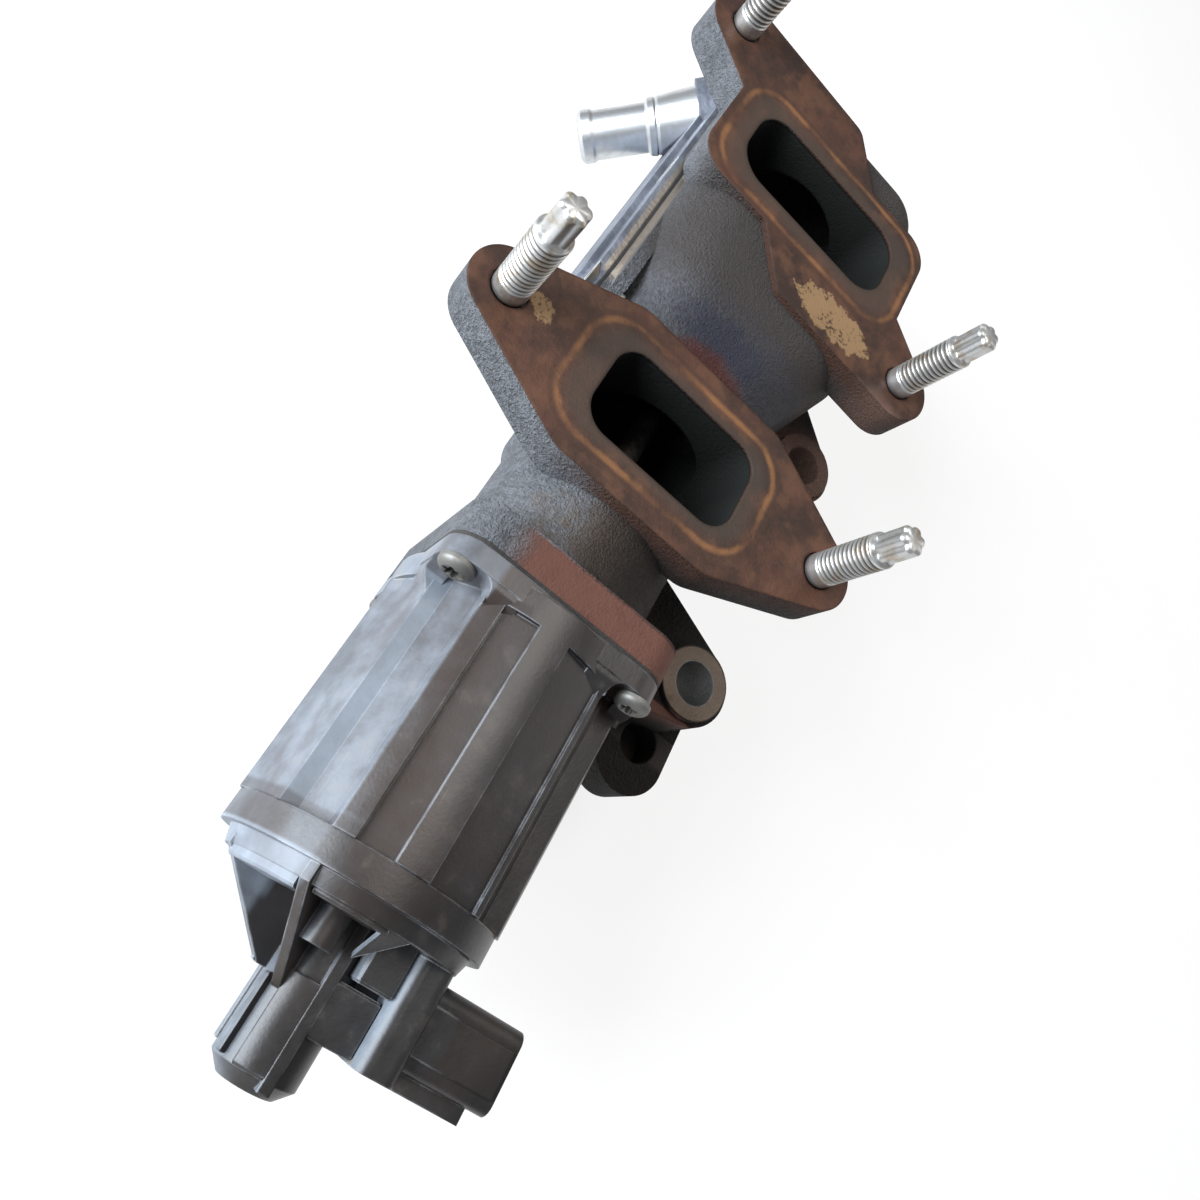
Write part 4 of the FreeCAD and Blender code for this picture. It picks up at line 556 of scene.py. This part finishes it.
def threadedStuds():
    # Radius over angle and height: a helix of rounded ridges, a groove, then six lobes
    points, faces = [], []
    angle = np.linspace(0, 2 * np.pi, stud["columns"], endpoint=False)
    under, over = stud["atFlange"]
    height = np.concatenate([[stud["bottom"], under], np.linspace(over, stud["top"], stud["rows"])])
    h, a = np.meshgrid(height, angle, indexing="ij")
    turn = (h / stud["pitch"] - a / (2 * np.pi)) % 1.0
    ridge = np.clip(stud["ridgeSlope"] * np.abs(2 * turn - 1) - stud["ridgeGap"], 0, 1)
    fadeIn = np.clip((h - stud["threadStart"]) / stud["fadeIn"], 0, 1)
    fadeOut = np.clip((stud["threadEnd"] - h) / stud["fadeOut"], 0, 1)
    thread = stud["radius"] - stud["threadDepth"] * (1 - ridge) * fadeIn * fadeOut
    star = stud["starRadius"] - stud["starFlute"] * (0.5 - 0.5 * np.cos(6 * a)) ** stud["starPower"]
    tip = np.clip((h - (stud["top"] - stud["tip"])) / stud["tip"], 0, 1)
    star = star - stud["tipRound"] * tip ** 2
    into = np.clip((h - stud["threadEnd"]) / stud["neck"], 0, 1)
    into = into * into * (3 - 2 * into)
    radius = np.where(h < 0, stud["root"], thread * (1 - into) + star * into)
    rows, columns = radius.shape
    for x, y in stud["places"]:
        start = sum(len(part) for part in points)
        side = np.stack([x + radius * np.cos(a), y + radius * np.sin(a), h], axis=-1).reshape(-1, 3)
        points.append(side)
        points.append(np.array([[x, y, stud["bottom"]], [x, y, stud["top"] - stud["dent"]]]))
        faces += gridFaces(rows, columns, start)
        low, high, last = start + rows * columns, start + rows * columns + 1, start + (rows - 1) * columns
        for k in range(columns):
            after = (k + 1) % columns
            faces.append((low, start + after, start + k))
            faces.append((high, last + k, last + after))
    piece = meshPiece("threadedStuds", np.concatenate(points) / 1000, faces, "zinc_steel", smooth=True)
    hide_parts("port_studs")
    return piece


threadedStuds()
print("studs made")


# The small mouldings of the actuator are worked out in mm about the valve axis: y across, h above it


def joined(parts):
    # Several closed shells as one pair of arrays
    points, faces, start = [], [], 0
    for shellPoints, shellFaces in parts:
        points.append(shellPoints)
        faces += [tuple(k + start for k in face) for face in shellFaces]
        start += len(shellPoints)
    return np.concatenate(points), faces


def facingOut(points, faces):
    # Turns the faces of a closed shell outward, told by the sign of its volume
    fans = np.array([(face[0], face[k], face[k + 1]) for face in faces for k in range(1, len(face) - 1)])
    first, second, third = points[fans].transpose(1, 0, 2)
    volume = np.sum(first * np.cross(second, third))
    return faces if volume > 0 else [face[::-1] for face in faces]


def loftedShell(rings):
    # A closed shell through rings of equally many points, with flat ends
    count = len(rings[0])
    points = np.concatenate([np.asarray(ring, dtype=float) for ring in rings])
    faces = [tuple(face) for face in gridFaces(len(rings), count)]
    last = (len(rings) - 1) * count
    faces.append(tuple(range(count)))
    faces.append(tuple(range(last + count - 1, last - 1, -1)))
    return points, facingOut(points, faces)


def placed(points):
    # From (x, y, h) about the axis to the frame, in metres
    return (points + np.array([0.0, 0.0, axisZ])) / 1000.0


def aroundAxis(radius, degrees):
    # y and h at an angle from +Y towards +Z
    return radius * np.cos(np.radians(degrees)), radius * np.sin(np.radians(degrees))


# Where the screw channels run out into the flange: rounded corners that ramp down to the barrel
rampCorner = {
    "face": -50.25, "end": -56.5, "inner": 8.5, "wall": 14.45, "fillet": 3.0, "base": 20.5,
    "top": 25.2, "low": 22.3, "flat": 0.8, "steps": 14, "stops": (4.0, 5.2),
    "turns": (0.0, 90.0, 180.0, 270.0),
}


def rampShell(mirror, turn):
    # Box sections along x: the side follows a quarter circle out of the wall, the top falls smoothly
    r = rampCorner
    reach = r["fillet"] * (1 - np.cos(np.linspace(0, np.pi / 2, r["steps"])))
    stops = [r["face"] - stop for stop in r["stops"]]
    x = np.concatenate([r["face"] - reach, stops + [r["end"]]])
    depth = np.clip((r["face"] - x) / r["fillet"], 0, 1)
    y = r["wall"] + r["fillet"] * (1 - np.sqrt(1 - (1 - depth) ** 2))
    fall = np.clip((r["face"] - r["flat"] - x) / (r["face"] - r["flat"] - r["end"]), 0, 1)
    h = r["top"] - (r["top"] - r["low"]) * (fall * fall * (3 - 2 * fall))
    c, s = aroundAxis(1.0, turn)
    rings = []
    for px, py, ph in zip(x, y, h):
        corners = np.array([(r["inner"], r["base"]), (r["inner"], ph), (py, ph), (py, r["base"])])
        across = -corners[:, 0] if mirror else corners[:, 0]
        rings.append(np.stack([np.full(4, px), across * c - corners[:, 1] * s,
                               across * s + corners[:, 1] * c], axis=-1))
    return loftedShell(rings)


def channelCorners():
    shells = [rampShell(mirror, turn) for turn in rampCorner["turns"] for mirror in (False, True)]
    points, faces = joined(shells)
    return meshPiece("channelCorners", placed(points), faces, "black_moulding")


channelCorners()
print("channel corners made")


# Housing screws: domed heads with a star socket
screw = {
    "offset": 21.4, "seat": -50.25, "tip": -37.0, "shank": 2.5, "tipChamfer": 0.4,
    "head": 3.8, "rim": 0.8, "rimChamfer": 0.15, "dome": 1.9, "socket": 1.72, "lobe": 0.32,
    "socketEdge": 0.25, "socketLip": 0.05, "socketDepth": 1.5, "columns": 48, "domeRows": 10,
}


def housingScrews():
    # A turned outline of shank, rim and elliptic dome, then a six-lobed socket sunk into the dome
    s = screw
    angle = np.linspace(0, 2 * np.pi, s["columns"], endpoint=False)
    star = s["socket"] + s["lobe"] * np.cos(6 * angle)
    widest = s["socket"] + s["lobe"] + s["socketEdge"]
    lift = np.linspace(0, np.arccos(widest / s["head"]), s["domeRows"])
    tip, seat, edge = s["tip"], s["seat"], s["rimChamfer"]
    rows = [(tip, s["shank"] - s["tipChamfer"]), (tip - s["tipChamfer"], s["shank"]), (seat, s["shank"])]
    rows += [(seat, s["head"] - edge), (seat - edge, s["head"])]
    rows += [(seat - s["rim"] - s["dome"] * np.sin(t), s["head"] * np.cos(t)) for t in lift]
    mouth = rows[-1][0]
    outlines = [(x, np.full(s["columns"], r)) for x, r in rows]
    outlines += [(mouth + s["socketLip"], star), (mouth + s["socketDepth"], star)]
    shells = []
    for signY, signZ in ((1, 1), (-1, 1), (-1, -1), (1, -1)):
        y, h = signY * s["offset"], signZ * s["offset"]
        shells.append(loftedShell([np.stack([np.full(s["columns"], x), y + r * np.cos(angle),
                                             h + r * np.sin(angle)], axis=-1) for x, r in outlines]))
    points, faces = joined(shells)
    piece = meshPiece("housingScrewSet", placed(points), faces, "zinc_steel", dustyScrew)
    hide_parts("housing_screws")
    return piece


housingScrews()
print("housing screws made")


# Small forms on the back of the cap: dusty shelf and step, gusset, ridge of the boss, blocks of the web
capForms = {
    # parts of a ring: inner and outer radius, first and last angle from +Y to +Z, first and last x
    "shelf": (14.0, 23.3, 11.0, 54.0, -109.2, -106.3), "step": (12.0, 22.6, 61.0, 96.0, -108.4, -106.3),
    "bossBack": (6.8, 8.7, 50.0, 96.0, -134.4, -119.0),
    "ringSteps": 24, "innerBreak": 0.4, "outerBreak": 0.5,
    # blocks: first and last x, y and h
    "blocks": ((-116.0, -106.5, -12.6, -5.2, 5.0, 12.2), (-126.5, -117.0, -12.6, -3.2, 4.0, 9.5),
               (-118.0, -106.5, -12.4, -3.4, 2.5, 5.4)),
    "blockChamfer": 0.5,
    # gusset: the three corners of its middle plane
    "gusset": ((-106.5, -2.0, 22.0), (-106.5, -7.5, 21.0), (-113.0, -2.0, 13.0)), "gussetHalf": 0.6,
    # middle of the boss, y and h
    "boss": (-1.6, 1.0),
    # plates on a radius: angle, inner and outer radius, half width, first and last x, chamfer
    "ridge": (28.0, 7.2, 9.0, 0.6, -134.0, -121.0, 0.3), "wall": (10.0, 6.0, 9.2, 0.6, -120.8, -108.5, 0.2),
}


def blockShell(xStart, xEnd, corners, chamfer):
    # Sections along x, shrunk a little at both ends
    corners = np.asarray(corners, dtype=float)
    middle = corners.mean(axis=0)
    shrunk = middle + (corners - middle) * (1 - chamfer / np.abs(corners - middle).max())
    stops = ((xStart, shrunk), (xStart + chamfer, corners), (xEnd - chamfer, corners), (xEnd, shrunk))
    return loftedShell([np.column_stack([np.full(len(ring), x), ring]) for x, ring in stops])


def plateShell(angle, inner, outer, half, xStart, xEnd, chamfer, centre=(0.0, 0.0)):
    # A plate along x that stands on a radius about the centre
    c, s = aroundAxis(1.0, angle)
    spots = ((inner, -half), (outer, -half), (outer, half), (inner, half))
    section = [(centre[0] + r * c - t * s, centre[1] + r * s + t * c) for r, t in spots]
    return blockShell(xStart, xEnd, section, chamfer)


def sectorShell(inner, outer, first, last, low, high, centre=(0.0, 0.0)):
    # Part of a ring about a line along x: one section carried round, its edges at the low end broken
    inBreak, outBreak = capForms["innerBreak"], capForms["outerBreak"]
    spots = np.array([(low + inBreak, inner), (low, inner + inBreak), (low, outer - outBreak),
                      (low + outBreak, outer), (high, outer), (high, inner)])
    rings = []
    for angle in np.linspace(first, last, capForms["ringSteps"]):
        y, h = aroundAxis(spots[:, 1], angle)
        rings.append(np.column_stack([spots[:, 0], centre[0] + y, centre[1] + h]))
    return loftedShell(rings)


def capShelf():
    points, faces = sectorShell(*capForms["shelf"])
    dusty = mouldedPlastic("dustySheenMoulding", 0.4)
    return meshPiece("capShelf", placed(points), faces, "black_moulding", dusty)


def capDetails():
    # The rest of the small forms as closed shells in one piece
    boss, chamfer = capForms["boss"], capForms["blockChamfer"]
    shells = [sectorShell(*capForms["step"]), sectorShell(*capForms["bossBack"], boss)]
    for xStart, xEnd, yLow, yHigh, hLow, hHigh in capForms["blocks"]:
        corners = ((yLow, hLow), (yHigh, hLow), (yHigh, hHigh - chamfer), (yHigh - chamfer, hHigh),
                   (yLow + chamfer, hHigh), (yLow, hHigh - chamfer))
        shells.append(blockShell(xStart, xEnd, corners, chamfer))
    corners = np.array(capForms["gusset"])
    sideways = np.cross(corners[1] - corners[0], corners[2] - corners[0])
    sideways = sideways / np.linalg.norm(sideways) * capForms["gussetHalf"]
    shells.append(loftedShell([corners + sideways, corners - sideways]))
    shells.append(plateShell(*capForms["ridge"], boss))
    shells.append(plateShell(*capForms["wall"]))
    points, faces = joined(shells)
    return meshPiece("capDetails", placed(points), faces, "black_moulding")


capShelf()
capDetails()
print("cap details made")


# The stage: pale floor under the lowest point, and a soft world. The glow keeps the floor pale in view
stage = {
    "half": 3.0, "gap": 0.0005, "colour": tone(250, 250, 250), "shade": tone(244, 244, 245), "glow": 0.72,
    "world": (0.86, 0.87, 0.9, 1.0), "worldStrength": 0.32,
}


def floorAndWorld():
    low = boundsAtStart[0][2] - stage["gap"]
    half = stage["half"]
    corners = [(-half, -half, low), (half, -half, low), (half, half, low), (-half, half, low)]
    mesh = bpy.data.meshes.new("floor")
    mesh.from_pydata(corners, [], [(0, 1, 2, 3)])
    floor = bpy.data.objects.new("floor", mesh)
    bpy.context.scene.collection.objects.link(floor)
    p = Paint("paleFloor")
    grain = p.noise(40.0, 2.0)
    p.finish(p.mix(stage["colour"], stage["shade"], grain), 0.9)
    rays = p.node("ShaderNodeLightPath")
    seen = p.most(Wire(p, rays.outputs["Is Camera Ray"]), Wire(p, rays.outputs["Is Glossy Ray"]))
    glow = p.node("ShaderNodeEmission", None, {"Color": (1.0, 1.0, 1.0), "Strength": 1.0})
    blend = p.node("ShaderNodeMixShader", None, {0: seen * stage["glow"]})
    p.tree.links.new(p.surface.outputs["BSDF"], blend.inputs[1])
    p.tree.links.new(glow.outputs[0], blend.inputs[2])
    p.tree.links.new(blend.outputs[0], p.output.inputs["Surface"])
    mesh.materials.append(p.material)
    world = bpy.data.worlds.new("softRoom")
    bpy.context.scene.world = world
    world.use_nodes = True
    background = world.node_tree.nodes["Background"]
    background.inputs["Color"].default_value = stage["world"]
    background.inputs["Strength"].default_value = stage["worldStrength"]


# Area lamps: place, aim, width and height in metres, watts, colour
lamps = {
    "windowLeft": ((-0.3, 0.72, 0.3), (-0.02, 0.0, -0.03), 0.55, 0.7, 20.0, (0.88, 0.94, 1.0)),
    "overhead": ((0.3, -0.05, 0.95), (0.0, 0.0, -0.03), 0.5, 0.5, 4.5, (1.0, 0.95, 0.9)),
    "rightFill": ((0.35, -0.75, 0.35), (0.0, 0.0, -0.03), 0.5, 0.5, 1.0, (1.0, 0.94, 0.88)),
}


def lights():
    for name, (place, aim, width, height, watts, colour) in lamps.items():
        data = bpy.data.lights.new(name, "AREA")
        data.shape = "RECTANGLE"
        data.size, data.size_y = width, height
        data.energy, data.color = watts, colour
        lamp = bpy.data.objects.new(name, data)
        lamp.location = place
        lamp.rotation_euler = (Vector(aim) - Vector(place)).to_track_quat("-Z", "Y").to_euler()
        bpy.context.scene.collection.objects.link(lamp)


# The photograph's own view: lens and sensor in mm, places in metres, turn in degrees about X, Y and Z
camera = {
    "lens": 26.726, "sensor": 36.0, "near": 0.01, "far": 20.0,
    "place": (-0.11587, 0.04559, 0.14060), "turn": (13.4838, -30.022, -58.6512),
}


def photographView():
    data = bpy.data.cameras.new("camera")
    data.lens, data.sensor_width, data.sensor_fit = camera["lens"], camera["sensor"], "HORIZONTAL"
    data.clip_start, data.clip_end = camera["near"], camera["far"]
    view = bpy.data.objects.new("camera", data)
    view.location = camera["place"]
    view.rotation_euler = np.radians(camera["turn"])
    bpy.context.scene.collection.objects.link(view)
    bpy.context.scene.camera = view
    bpy.context.scene.view_settings.view_transform = "Standard"


floorAndWorld()
lights()
photographView()
print("stage, lamps and camera set")
